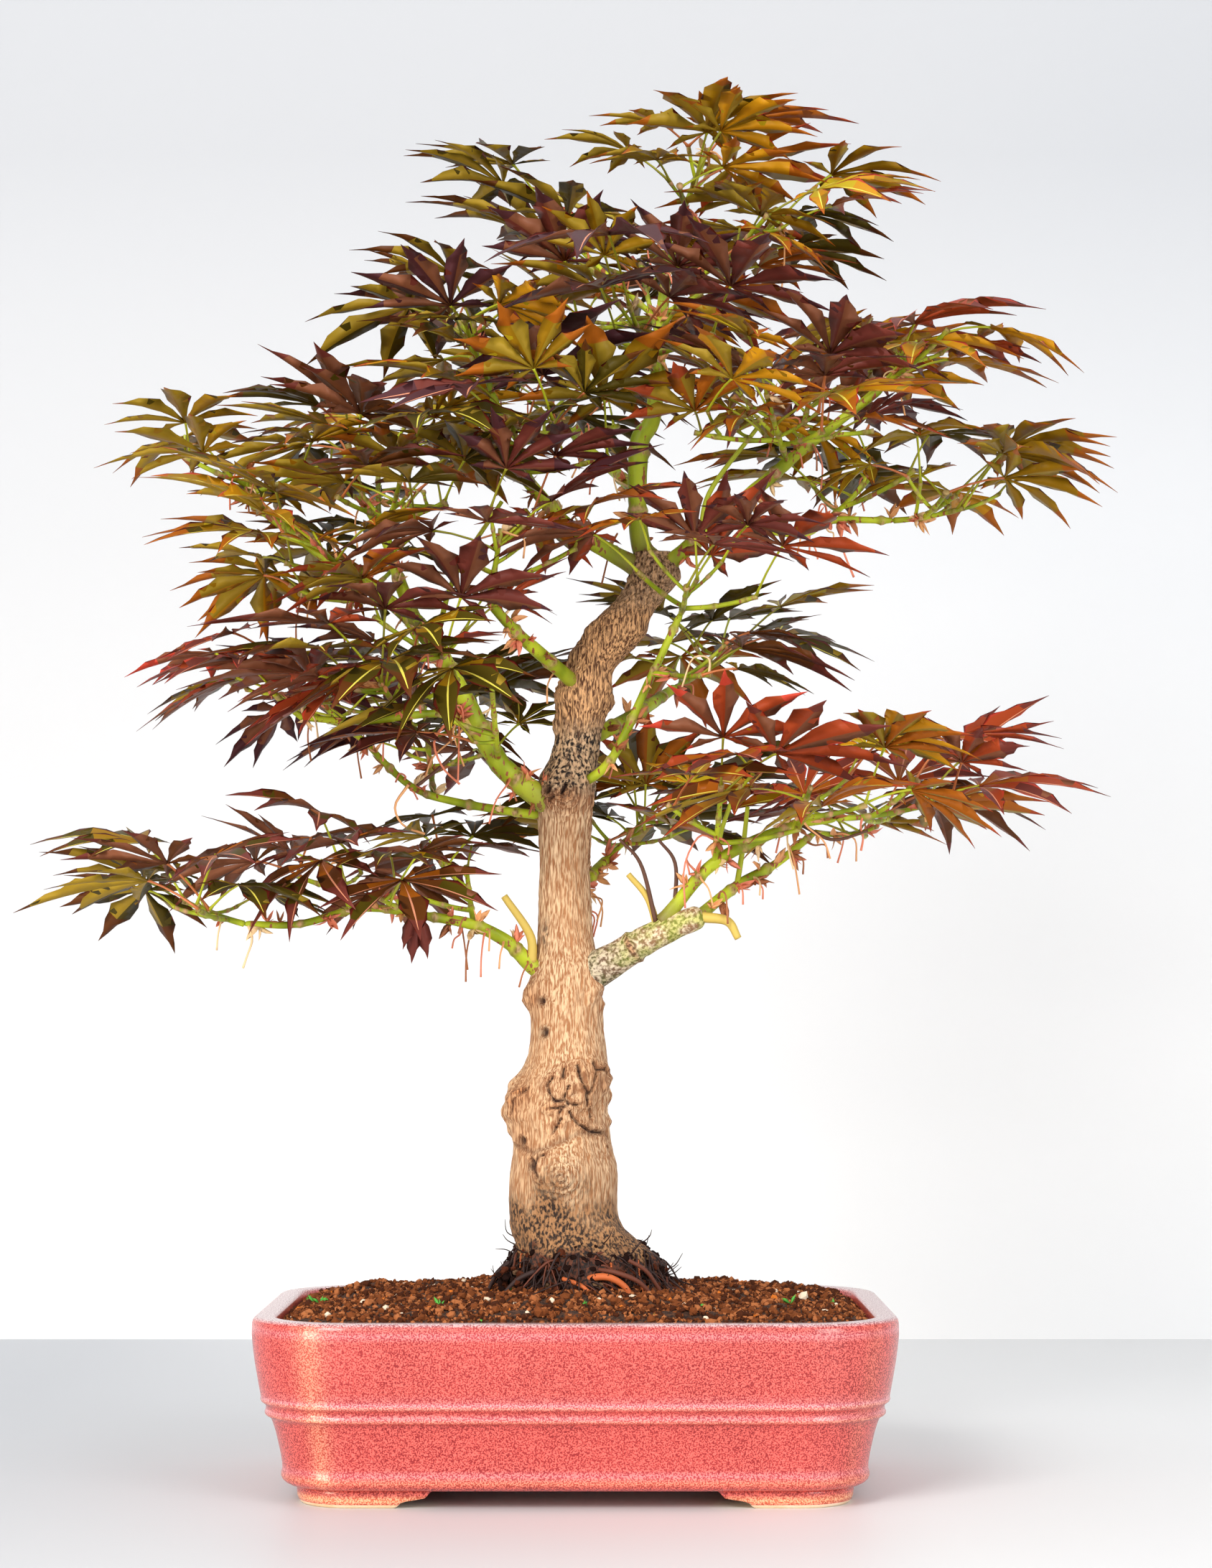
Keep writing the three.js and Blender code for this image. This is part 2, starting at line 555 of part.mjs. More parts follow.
// The twigs of a mass and the places for its leaves, by one rule: a stem with opposite pairs at its nodes.
// Even nodes carry twigs that end in a pair of leaves, odd nodes carry the pair, and the last carries three.
function growMass(mass, start, seed) {
  const roll = rolls(seed);
  const end = vec(mass.to);
  const way = end.clone().sub(start);
  const sag = start.clone().lerp(end, 0.5).addScaledVector(UP, -GROWTH.sag * way.length());
  const curve = new THREE.QuadraticBezierCurve3(start, sag, end);
  const heading = Math.atan2(way.y, way.x);
  const twigs = [{ points: [0, 0.5, 1].map((t) => curve.getPoint(t)), from: STEM, to: TWIG_TIP }];
  const onStem = (t, steps) => curve.getPoint(t - (steps * STAGGER) / way.length());
  const places = [];
  for (let k = 0; k < mass.nodes; k++) {
    const last = k === mass.nodes - 1;
    const t = last ? 1 : mix(...GROWTH.nodes, k / (mass.nodes - 1));
    for (const side of [-1, 1]) {
      const node = onStem(t, last ? 2 + side / 2 : side);
      const turn = heading + side * degrees(within(last ? GROWTH.endTurn : GROWTH.sideTurn, roll));
      const rise = within(GROWTH.rise, roll);
      if (last || k % 2 === 1) {
        places.push({ node, turn, rise, share: 1 });
        continue;
      }
      const length = LEAF * within(GROWTH.twigLength, roll);
      const lift = degrees(within(GROWTH.twigLift, roll));
      const reach = new THREE.Vector3(Math.cos(turn), Math.sin(turn), Math.tan(lift)).setLength(length);
      const tip = node.clone().add(reach);
      const twig = { points: [node, tip], from: TWIG_TIP * 1.2, to: TWIG_TIP };
      for (const pair of [0, 1]) {
        const aim = turn + (2 * pair - 1) * degrees(within(GROWTH.pairTurn, roll));
        const fork = tip.clone().lerp(node, ((END_STEP + pair) * STAGGER) / length);
        const lean = within(GROWTH.pairRise, roll);
        places.push({ node: fork, turn: aim, rise: lean, share: GROWTH.pairShare, twig });
      }
    }
    if (!last) continue;
    places.push({ node: onStem(t, END_STEP), turn: heading, rise: within(GROWTH.endRise, roll), share: 1 });
  }
  return { twigs, places };
}

const twigTrack = (twig) => {
  const count = twig.points.length - 1;
  const knots = twig.points.map((p, i) => [p.x, p.y, p.z, mix(twig.from, twig.to, i / count)]);
  return track(knots, 1);
};
const twigSolid = (twig, grow = 0) => tube(twigTrack(twig), TWIG_SIDES, { grow });

// Points that are taken, in cubes of space, so that a new point is compared only with those near it.
class Room {
  constructor(cube) {
    this.cube = cube;
    this.cells = new Map();
  }

  key(point, dx, dy, dz) {
    const [i, j, k] = [point.x, point.y, point.z].map((c) => Math.floor(c / this.cube) + 500);
    return ((i + dx) * 1000 + j + dy) * 1000 + k + dz;
  }

  take(point) {
    const key = this.key(point, 0, 0, 0);
    if (!this.cells.has(key)) this.cells.set(key, []);
    this.cells.get(key).push(point);
  }

  free(point) {
    const limit = this.cube * this.cube;
    const steps = [-1, 0, 1];
    const near = (dx, dy, dz) => this.cells.get(this.key(point, dx, dy, dz)) ?? [];
    const taken = (cell) => cell.some((other) => point.distanceToSquared(other) < limit);
    return !steps.some((dx) => steps.some((dy) => steps.some((dz) => taken(near(dx, dy, dz)))));
  }
}

// Bark points with their radius.
const BARK = [TRUNK, ...Object.values(LIMBS)].flatMap((knots) => track(knots, 4));
const offBark = (point) => BARK.every((b) => point.distanceTo(b.point) > b.radius + LIMB_GAP);

function startOf(mass) {
  const samples = track(LIMBS[mass.on], 10);
  return samples[Math.round(mass.at * (samples.length - 1))].point;
}

// The stretch of trunk that stays in sight between the pads: no leaf hangs before it.
const BARE = { from: 300, to: 424, half: 16 };

function hidesTrunk(point) {
  if (point.y > 0 || point.z < BARE.from || point.z > BARE.to) return false;
  const next = TRUNK.findIndex((knot) => knot[2] > point.z);
  const [low, high] = [TRUNK[next - 1], TRUNK[next]];
  const x = mix(low[0], high[0], (point.z - low[2]) / (high[2] - low[2]));
  return Math.abs(point.x - x) < BARE.half;
}

// Whether points stay in a mass's own space, which is a flat round one about its stem's end.
function inSpace(mass, points) {
  const [x, y, z] = mass.to;
  const inside = (p) => Math.hypot(p.x - x, p.y - y, (p.z - z) / FLATNESS) < mass.reach;
  return points.every((p) => inside(p) && !hidesTrunk(p));
}

// One draw of a mass: its leaves where there is room for them, and the twigs that carry any.
function drawMass(mass, start, seed, leafRoom, twigRoom) {
  const { twigs, places } = growMass(mass, start, seed);
  const own = new Room(LEAF_GAP);
  const free = (p) => leafRoom.free(p) && own.free(p) && twigRoom.free(p) && offBark(p);
  const leaves = [];
  const kept = [];
  const refused = [];
  places.forEach((place, number) => {
    const { twig } = place;
    const isNew = twig && !kept.includes(twig);
    if (refused.includes(twig)) return;
    if (isNew && !twigTrack(twig).slice(1).every((sample) => free(sample.point))) {
      refused.push(twig);
      return;
    }
    for (let attempt = 0; attempt < TRIES; attempt++) {
      const leaf = drawLeaf(place, LEAF_SEEDS * seed + TRIES * number + attempt);
      const points = veins(leaf);
      if (!inSpace(mass, points) || !points.every(free)) continue;
      leaves.push(leaf);
      points.forEach((p) => own.take(p));
      if (isNew) kept.push(twig);
      break;
    }
  });
  return { twigs: [twigs[0], ...kept], leaves };
}

// The draw of a mass that grows the most leaf.
function fillMass(mass, number, start, leafRoom, twigRoom) {
  let best = { area: -1 };
  for (let n = 0; n < DRAWS; n++) {
    const draw = drawMass(mass, start, DRAWS * (number + 1) + n, leafRoom, twigRoom);
    const area = draw.leaves.reduce((sum, leaf) => sum + leaf.size * leaf.size, 0);
    if (area > best.area) best = { area, ...draw };
  }
  best.leaves.flatMap(veins).forEach((p) => leafRoom.take(p));
  return best;
}

// All stems take their room first, and then the masses fill what is left one after the other.
const starts = MASSES.map(startOf);
const twigRoom = new Room(TWIG_GAP);
MASSES.forEach((mass, k) => {
  const stem = growMass(mass, starts[k], 0).twigs[0];
  twigTrack(stem).slice(1).forEach((sample) => twigRoom.take(sample.point));
});
const leafRoom = new Room(LEAF_GAP);
const grownMasses = MASSES.map((mass, k) => fillMass(mass, k, starts[k], leafRoom, twigRoom));

// The part of a solid that is left when its loose bits are dropped.
const biggest = (solid) => solid.decompose().sort((a, b) => b.volume() - a.volume())[0];

function meet(a, b) {
  const p = a.boundingBox();
  const q = b.boundingBox();
  if ([0, 1, 2].some((i) => p.min[i] > q.max[i] || q.min[i] > p.max[i])) return false;
  return !a.intersect(b).isEmpty();
}

// Each piece is cut clear of those before it: the trunk, then the limbs, then the masses.
const solids = new Map([["trunk", trunkSolid(0)]]);
const grown = [trunkSolid(CLEAR)];
function addClear(name, solid, thick) {
  let cut = solid;
  for (const other of grown) {
    if (meet(cut, other)) cut = cut.subtract(other);
  }
  solids.set(name, biggest(cut).asOriginal().simplify(TIDY));
  grown.push(thick);
}
for (const [name, knots] of Object.entries(LIMBS)) {
  addClear(name, limbSolid(knots, 0), limbSolid(knots, CLEAR));
}
grownMasses.forEach(({ twigs, leaves }, k) => {
  const grow = (by) => [...twigs.map((t) => twigSolid(t, by)), ...leaves.map((l) => leafSolid(l, by))];
  addClear(`leaves_${MASSES[k].name}`, Manifold.union(grow(0)), Manifold.union(grow(CLEAR)));
});
solids.set("pot", potSolid());
solids.set("soil", soilSolid());

// The finish of each piece.
const FINISHES = {
  pot: { color: 0xc2474f, roughness: 0.25 },
  soil: { color: 0x4a2a17, roughness: 0.95 },
  trunk: { color: 0xc29a6c, roughness: 0.8 },
  limb: { color: 0x8fae3a, roughness: 0.55 },
  leaves: { color: 0x6b4a22, roughness: 0.6 },
};

function finishOf(name) {
  if (name.startsWith("leaves")) return FINISHES.leaves;
  return FINISHES[name] ?? FINISHES.limb;
}

const tree = new THREE.Group();
for (const [name, solid] of solids) {
  const material = new THREE.MeshStandardMaterial({ ...finishOf(name), metalness: 0 });
  const mesh = new THREE.Mesh(geometryOf(solid), material);
  mesh.name = name;
  tree.add(mesh);
}

// The origin is under the middle of the whole plant's box.
const whole = new THREE.Box3().setFromObject(tree);
const middle = whole.getCenter(new THREE.Vector3());
tree.position.set(-middle.x, -middle.y, 0);

export default tree;
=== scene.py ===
# %% [markdown]
# # A bonsai maple in a rose-red pot
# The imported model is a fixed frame: plain solids that say where everything is. This lesson dresses it with a
# glazed pot, loose soil, old bark, green wood and some hundreds of lobed leaves. Every shape is a formula
# over numpy arrays in millimetres, measured from the middle of the pot's underside, and one helper moves the
# points into the frame and makes metres of them.

# %% The frame
import math

import bpy
import numpy as np
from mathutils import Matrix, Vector


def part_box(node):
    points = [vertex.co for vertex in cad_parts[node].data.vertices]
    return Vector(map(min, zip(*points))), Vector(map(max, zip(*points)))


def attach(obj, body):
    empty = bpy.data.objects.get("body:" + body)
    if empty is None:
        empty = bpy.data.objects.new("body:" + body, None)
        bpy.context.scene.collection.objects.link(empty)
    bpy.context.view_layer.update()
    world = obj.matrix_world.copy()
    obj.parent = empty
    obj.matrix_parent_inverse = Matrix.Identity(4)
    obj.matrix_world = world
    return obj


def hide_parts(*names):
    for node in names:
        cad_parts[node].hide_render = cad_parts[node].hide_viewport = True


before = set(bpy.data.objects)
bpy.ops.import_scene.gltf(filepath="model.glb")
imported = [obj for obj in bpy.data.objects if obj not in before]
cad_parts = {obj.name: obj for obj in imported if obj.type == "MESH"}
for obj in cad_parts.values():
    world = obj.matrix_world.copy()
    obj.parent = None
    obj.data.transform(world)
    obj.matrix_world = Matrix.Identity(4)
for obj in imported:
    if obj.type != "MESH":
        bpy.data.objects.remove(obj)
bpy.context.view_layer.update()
MM = 0.001
pot_low, pot_high = (np.array(corner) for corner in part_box("pot"))
SHIFT = (pot_low + pot_high) / 2 / MM * (1, 1, 0)
print("solids", len(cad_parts), "- the pot's middle in millimetres", SHIFT.round(2))

# %% [markdown]
# ## Points and faces
# A shape here is an array of points and rows of point numbers. Blender could build each one from primitives
# and modifiers, but thousands of leaves and granules would take minutes that way. So a few helpers write
# whole arrays into a mesh at once, and join rings of points with quads.

# %% Points and faces into a piece
def as_rows(faces):
    """Faces as a list of arrays, each with rows of equal length."""
    return [np.asarray(f, np.int32).reshape(len(f), -1) for f in faces if len(f)]


def holds(points, groups):
    """The volume inside closed faces: a sixth of the sum of the box products of each fan triangle's corners.
    It is below zero where the faces point inwards."""
    total = 0.0
    for rows in groups:
        for i in range(1, rows.shape[1] - 1):
            a, b, c = points[rows[:, 0]], points[rows[:, i]], points[rows[:, i + 1]]
            total += (np.cross(a, b) * c).sum() / 6
    return total


def make_piece(name, points, faces, materials, finish=None, values=None, flat=False):
    """A mesh object: points in millimetres plus the shift, times a thousandth, and faces as rows of numbers.
    Finish gives each face's place in the materials, and values are numbers stored on the points."""
    mesh = bpy.data.meshes.new(name)
    groups = as_rows(faces)
    if holds(np.asarray(points) - np.mean(points, axis=0), groups) < 0:
        groups = [rows[:, ::-1] for rows in groups]
    sizes = np.concatenate([np.full(len(g), g.shape[1]) for g in groups])
    place = (np.asarray(points) + SHIFT) * MM
    mesh.vertices.add(len(place))
    mesh.vertices.foreach_set("co", place.astype(np.float32).ravel())
    mesh.loops.add(int(sizes.sum()))
    mesh.loops.foreach_set("vertex_index", np.concatenate([g.ravel() for g in groups]))
    mesh.polygons.add(len(sizes))
    mesh.polygons.foreach_set("loop_start", np.concatenate([[0], np.cumsum(sizes)[:-1]]))
    for material in materials:
        mesh.materials.append(material)
    if finish is not None:
        mesh.polygons.foreach_set("material_index", np.asarray(finish, np.int32))
    for key, numbers in (values or {}).items():
        attribute = mesh.attributes.new(key, "FLOAT", "POINT")
        attribute.data.foreach_set("value", np.asarray(numbers, np.float32).ravel())
    mesh.update(calc_edges=True)
    if flat:
        mesh.shade_flat()
    else:
        mesh.shade_smooth()
    piece = bpy.data.objects.new(name, mesh)
    bpy.context.scene.collection.objects.link(piece)
    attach(piece, "root")
    print(name, len(place), "points", int((sizes - 2).sum()), "triangles")
    return piece


def ring_faces(rings, count, close=False):
    """Quads between rings of count points each, one after the other. A closed set joins last and first."""
    k, i = np.meshgrid(np.arange(rings if close else rings - 1), np.arange(count), indexing="ij")
    after = (i + 1) % count
    above = (k + 1) % rings
    quads = np.stack([k * count + i, k * count + after, above * count + after, above * count + i], -1)
    return quads.reshape(-1, 4)


def tube_faces(count, rings, sides):
    """Quads, and the caps at both ends, of many closed tubes whose points follow each other."""
    first = rings * sides * np.arange(count)
    quads = (ring_faces(rings, sides)[None] + first[:, None, None]).reshape(-1, 4)
    low = first[:, None] + np.arange(sides)[::-1]
    high = first[:, None] + (rings - 1) * sides + np.arange(sides)
    return quads, np.concatenate([low, high])


def tube_finish(tone, rings, sides):
    """One tone for each closed tube, for its sides and for both of its caps."""
    return np.concatenate([np.repeat(tone, (rings - 1) * sides), np.tile(tone, 2)])


def mix(low, high, share):
    """The value that lies share of the way from low to high."""
    return (1 - share) * low + share * high


def unit(v):
    """Vectors scaled to length one."""
    return v / np.linalg.norm(v, axis=-1, keepdims=True)


def ridge(x, wide, at=0):
    """A bump from 0 to 1 and back round one place."""
    return np.exp(-(((x - at) / wide) ** 2))


def wrapped(angle, half=math.pi):
    """Angles brought between minus and plus half a turn."""
    return np.mod(angle + half, 2 * half) - half


def skin(middles, radii, sides):
    """Rings of points round lines. A ring stands square to the line's own step, from a side direction that is
    the same for the whole line, less its part along the line."""
    way = unit(np.gradient(middles, axis=-2))
    whole = unit(middles[..., -1:, :] - middles[..., :1, :])
    flat = np.where(np.abs(whole[..., 2:]) > 0.9, (1.0, 0, 0), (0, 0, 1.0))
    start = unit(np.cross(whole, flat))
    across = unit(start - (start * way).sum(-1, keepdims=True) * way)
    other = np.cross(way, across)
    angle = np.arange(sides) / sides * 2 * math.pi
    ring = across[..., None, :] * np.cos(angle)[:, None] + other[..., None, :] * np.sin(angle)[:, None]
    return middles[..., None, :] + ring * radii[..., None]


def ease(t):
    """A share from 0 to 1 that starts and ends slowly."""
    return t * t * (3 - 2 * t)


def wander(u, v, around, along, seed):
    """Smooth heights from -1 to 1 over a sheet that closes on itself in u: random values at the corners of
    around by along cells, eased from corner to corner."""
    corners = np.random.default_rng(seed).uniform(-1, 1, (around, along + 3))
    x = np.mod(u, 1) * around
    y = np.clip(v, 0, 1) * along
    i, j = np.floor(x).astype(int), np.floor(y).astype(int)
    a, b = ease(x - i), ease(y - j)
    i, after = i % around, (i + 1) % around
    low = mix(corners[i, j], corners[after, j], a)
    return mix(low, mix(corners[i, j + 1], corners[after, j + 1], a), b)


# %% [markdown]
# ## Materials
# Every finish is a Principled shader. Numbers that are the same everywhere are set on the shader itself, and
# what changes over the surface comes from noise in Object coordinates or from a value stored on the points.
# The mottle that glaze, bark and soil share is one node group, built once and placed with its own numbers.

# %% A shader to start from, and the shared mottle
def srgb(*levels):
    """A colour from screen levels of 0 to 255 to the linear values that shaders take."""
    share = np.array(levels) / 255
    return tuple(np.where(share <= 0.04045, share / 12.92, ((share + 0.055) / 1.055) ** 2.4)) + (1.0,)


def new_finish(name, levels, **numbers):
    """A Principled material from screen levels, with its plain numbers on the shader's sockets. Underscores
    stand for spaces."""
    colour = srgb(*levels)
    material = bpy.data.materials.new(name)
    material.use_nodes = True
    shader = material.node_tree.nodes["Principled BSDF"]
    shader.inputs["Base Color"].default_value = colour
    for key, number in numbers.items():
        shader.inputs[key.replace("_", " ")].default_value = number
    material.diffuse_color = colour
    return material


def add_node(tree, kind, links=(), **settings):
    """A node with its settings. Links are pairs of an input and what goes there: a socket is linked to it,
    and a plain value is set."""
    node = tree.nodes.new(kind)
    for key, setting in settings.items():
        setattr(node, key, setting)
    for key, source in dict(links).items():
        if isinstance(source, bpy.types.NodeSocket):
            tree.links.new(source, node.inputs[key])
        else:
            node.inputs[key].default_value = source
    return node


def blend(tree, share, below, above):
    """The colour that lies share of the way from below to above, which are sockets or screen levels."""
    below, above = (srgb(*end) if isinstance(end, tuple) else end for end in (below, above))
    links = {0: share, 6: below, 7: above}
    return add_node(tree, "ShaderNodeMix", links, data_type="RGBA").outputs[2]


def spread(tree, value, low, high, to_low=0.0, to_high=1.0):
    """A value from the range low to high moved to another range and kept in it."""
    links = {0: value, 1: low, 2: high, 3: to_low, 4: to_high}
    return add_node(tree, "ShaderNodeMapRange", links, clamp=True).outputs[0]


def build_mottle():
    """Noise at two sizes: Fine and Broad go from 0 to 1 with a set contrast, for spots and for clouds."""
    tree = bpy.data.node_groups.new("mottle", "ShaderNodeTree")
    face = tree.interface
    face.new_socket("Vector", in_out="INPUT", socket_type="NodeSocketVector")
    for name, start in (("Fine Scale", 900.0), ("Broad Scale", 40.0), ("Contrast", 0.2)):
        face.new_socket(name, in_out="INPUT", socket_type="NodeSocketFloat").default_value = start
    for name in ("Fine", "Broad"):
        face.new_socket(name, in_out="OUTPUT", socket_type="NodeSocketFloat")
    given = add_node(tree, "NodeGroupInput")
    put = add_node(tree, "NodeGroupOutput")
    low = add_node(tree, "ShaderNodeMath", {0: 0.5, 1: given.outputs["Contrast"]}, operation="SUBTRACT")
    high = add_node(tree, "ShaderNodeMath", {0: 0.5, 1: given.outputs["Contrast"]}, operation="ADD")
    for name in ("Fine", "Broad"):
        links = {"Vector": given.outputs["Vector"], "Scale": given.outputs[name + " Scale"], "Detail": 2.5}
        noise = add_node(tree, "ShaderNodeTexNoise", links)
        share = spread(tree, noise.outputs["Fac"], low.outputs[0], high.outputs[0])
        tree.links.new(share, put.inputs[name])
    return tree


MOTTLE = build_mottle()


def place_mottle(tree, fine, broad, contrast=0.2, stretch=(1, 1, 1)):
    """The shared mottle's Fine and Broad in Object coordinates, drawn out along an axis where stretch is
    below one."""
    where = add_node(tree, "ShaderNodeTexCoord").outputs["Object"]
    turned = add_node(tree, "ShaderNodeMapping", {"Vector": where, "Scale": stretch}).outputs[0]
    links = {"Vector": turned, "Fine Scale": fine, "Broad Scale": broad, "Contrast": contrast}
    node = add_node(tree, "ShaderNodeGroup", links, node_tree=MOTTLE)
    return node.outputs["Fine"], node.outputs["Broad"]


def stored(tree, name):
    """A value kept on the points of a piece."""
    return add_node(tree, "ShaderNodeAttribute", attribute_name=name).outputs["Fac"]


def feed(material, socket, source):
    """A socket of the material's shader fed by another node's output."""
    material.node_tree.links.new(source, material.node_tree.nodes["Principled BSDF"].inputs[socket])


def roughen(material, height, distance, strength=0.6):
    """Bumps from a height, in metres, into the shader's Normal."""
    links = {"Height": height, "Distance": distance, "Strength": strength}
    feed(material, "Normal", add_node(material.node_tree, "ShaderNodeBump", links).outputs[0])


def layered(tree, colour, layers):
    """A colour with tones laid over it. A layer is a stored value, the most that its tone covers, and the
    tone: noise, with a colour at its low and at its high end."""
    for name, most, noise, low, high in layers:
        share = stored(tree, name)
        if most < 1:
            share = spread(tree, share, 0, 1, 0, most)
        colour = blend(tree, share, colour, blend(tree, noise, low, high))
    return colour


def finishes(tones, **numbers):
    """One plain material for each name with its screen levels."""
    return [new_finish(name, levels, **numbers) for name, levels in tones.items()]


print("the mottle has", len(MOTTLE.nodes), "nodes")

# %% [markdown]
# ## Camera, floor and light
# The picture of the plant was taken from a little above the pot, a metre and a half away. A long lens keeps
# the pot's sides nearly upright. Floor and wall are pale, with painted shade graded across each, and the wall
# is see-through from behind, so that the plant can be looked at from every side. Large soft lights give the
# glaze its broad highlights.

# %% The camera
LOOK_X, EYE_Y, EYE_Z, AIM_Z = 13.65, -1500, 218, 324
eye = np.array([LOOK_X, EYE_Y, EYE_Z]) + SHIFT
aim = np.array([LOOK_X, 0, AIM_Z]) + SHIFT
camera = bpy.data.objects.new("camera", bpy.data.cameras.new("camera"))
bpy.context.scene.collection.objects.link(camera)
camera.data.lens = 73.35
camera.data.sensor_width = 36
camera.data.clip_end = 20
camera.location = Vector(eye * MM)
camera.rotation_euler = Vector(aim - eye).to_track_quat("-Z", "Y").to_euler()
bpy.context.scene.camera = camera
bpy.context.scene.view_settings.view_transform = "Standard"
print("camera", camera.data.lens, "mm lens at", eye.round(1))


# %% Floor and wall
def sheet(name, corners, roughness, painted_shade):
    """One flat quad that belongs to the stage, with painted shade graded over it. The painted shade is an axis,
    two places on it in metres, and the colours below the first and above the second."""
    axis, low, high, below, above = painted_shade
    mesh = bpy.data.meshes.new(name)
    mesh.from_pydata([tuple((np.array(c) + SHIFT) * MM) for c in corners], [], [(0, 1, 2, 3)])
    material = new_finish(name, above, Roughness=roughness)
    mesh.materials.append(material)
    place = add_node(material.node_tree, "ShaderNodeTexCoord").outputs["Object"]
    along = add_node(material.node_tree, "ShaderNodeSeparateXYZ", {0: place}).outputs[axis]
    # Painted shade: the colour goes from one end of the grade to the other along the axis.
    share = spread(material.node_tree, along, low, high)
    feed(material, "Base Color", blend(material.node_tree, share, below, above))
    obj = bpy.data.objects.new(name, mesh)
    bpy.context.scene.collection.objects.link(obj)
    return material


def clear_from_behind(material):
    """The shader shows on the front of the sheet only, and the back lets everything through."""
    tree = material.node_tree
    shader = tree.nodes["Principled BSDF"]
    clear = add_node(tree, "ShaderNodeBsdfTransparent")
    back = add_node(tree, "ShaderNodeNewGeometry").outputs["Backfacing"]
    both = add_node(tree, "ShaderNodeMixShader", {0: back, 1: shader.outputs[0], 2: clear.outputs[0]})
    tree.links.new(both.outputs[0], tree.nodes["Material Output"].inputs["Surface"])


REACH, WALL_AT = 4000, 640
ground = [(-REACH, -REACH, 0), (REACH, -REACH, 0), (REACH, REACH, 0), (-REACH, REACH, 0)]
# Painted shade: the floor grows darker towards the left.
sheet("floor", ground, 0.5, ("X", -0.32, 0.16, (190, 193, 198), (226, 227, 228)))
upright = [(-REACH, WALL_AT, 0), (REACH, WALL_AT, 0), (REACH, WALL_AT, REACH), (-REACH, WALL_AT, REACH)]
# Painted shade: the wall grows darker towards the top.
wall = sheet("wall", upright, 0.9, ("Z", 0.12, 0.8, (242, 243, 244), (194, 196, 200)))
clear_from_behind(wall)
print("the wall stands", WALL_AT, "mm behind the pot's middle")


# %% Lights
def softbox(name, place, size, power, colour=(1, 1, 1)):
    """A square area light that looks at the middle of the plant, place in millimetres, power in watts."""
    light = bpy.data.lights.new(name, "AREA")
    light.size = size * MM
    light.energy = power
    light.color = colour
    obj = bpy.data.objects.new(name, light)
    obj.location = Vector((np.array(place) + SHIFT) * MM)
    look = Vector(SHIFT * MM) + Vector((0, 0, 0.3)) - obj.location
    obj.rotation_euler = look.to_track_quat("-Z", "Y").to_euler()
    bpy.context.scene.collection.objects.link(obj)


softbox("key", (-900, -1700, 1250), 900, 38, (1, 0.985, 0.955))
softbox("fill", (1200, -1600, 800), 1000, 21, (1, 0.99, 0.97))
softbox("top", (0, -200, 2200), 1400, 8)
softbox("left", (-660, -620, 110), 240, 2.6, (1, 0.82, 0.62))
world = bpy.data.worlds.new("studio")
world.use_nodes = True
world.node_tree.nodes["Background"].inputs["Color"].default_value = srgb(243, 245, 248)
world.node_tree.nodes["Background"].inputs["Strength"].default_value = 0.55
bpy.context.scene.world = world
print("lights", len(bpy.data.lights), "with", sum(light.energy for light in bpy.data.lights), "watts")

# %% [markdown]
# ## The pot
# It is cast in one wall: a lower lip, a belt with two ridges and a rolled rim, over a plan that is a
# rectangle with round corners. A turned profile would be easy, but the plan isn't round, so the profile is
# carried round the plan instead: each point of it is drawn in from the rim by its own inset. The glaze runs
# thin on ridges, where the clay shows through as peach, and the feet stand bare on the ground.

# %% The pot's plan and profile
POT = {"width": 289, "depth": 208, "corner": 46, "inner_corner": 4, "rim": 11}
# Half lengths of the straight parts of the long and the short side.
STRAIGHT = POT["width"] / 2 - POT["corner"], POT["depth"] / 2 - POT["corner"]
# Points at each corner, along each side, and in the whole plan.
PER_CORNER = 22
EVEN = np.linspace(0, 1, 14)[1:-1]
PLAN = 4 * (PER_CORNER + len(EVEN))


def pot_ring(inset, z, stops=(EVEN, EVEN)):
    """The plan at one height: quarter circles at the corners, their radius less by the inset, and straight
    sides between them, with points at shares of the long and of the short side."""
    radius = max(POT["corner"] - inset, POT["inner_corner"])
    half_x = POT["width"] / 2 - inset - radius
    half_y = POT["depth"] / 2 - inset - radius
    points = []
    for corner, (sx, sy) in enumerate([(1, 1), (-1, 1), (-1, -1), (1, -1)]):
        angle = (corner + np.linspace(0, 1, PER_CORNER)) * math.pi / 2
        arc = np.stack([sx * half_x + radius * np.cos(angle), sy * half_y + radius * np.sin(angle)], -1)
        way = [(-1, 0), (0, -1), (1, 0), (0, 1)][corner]
        length = 2 * (half_x if corner % 2 == 0 else half_y)
        points += [arc, arc[-1] + stops[corner % 2][:, None] * length * way]
    plan = np.concatenate(points)
    return np.column_stack([plan, np.full(len(plan), z)])


# The wall's profile, as the inset from the rim and the height.
OUTSIDE = [
    (20, 8), (17.4, 8.2), (15.4, 9.2), (14.1, 10.4), (13.5, 11.8), (13.5, 13.3), (14, 15), (13.9, 17.5),
    (13.2, 21.5), (12.2, 26), (11, 31), (9.7, 35), (8.9, 36.9), (7.9, 38), (6.7, 38.5), (6.05, 39.2),
    (6, 40.1), (6.5, 41), (6.6, 42.3), (6.2, 43.3), (5.2, 44), (4.4, 44.6), (4.05, 45.4), (4.2, 46.5),
    (4, 48), (3.2, 52), (2.3, 57), (1.4, 62), (0.7, 67), (0.25, 71), (0, 74), (0, 77), (0.12, 79),
    (0.5, 80.4), (1.2, 81.4), (2.2, 81.9), (3.4, 82),
]
INSIDE = [
    (8.4, 82), (9.6, 81.8), (10.4, 81.3), (10.9, 80.4), (11.2, 78), (13, 62), (17, 42), (21, 22),
    (23.5, 16.5), (27, 14),
]
print("profile", len(OUTSIDE), "points outside and", len(INSIDE), "inside, plan", PLAN, "points")

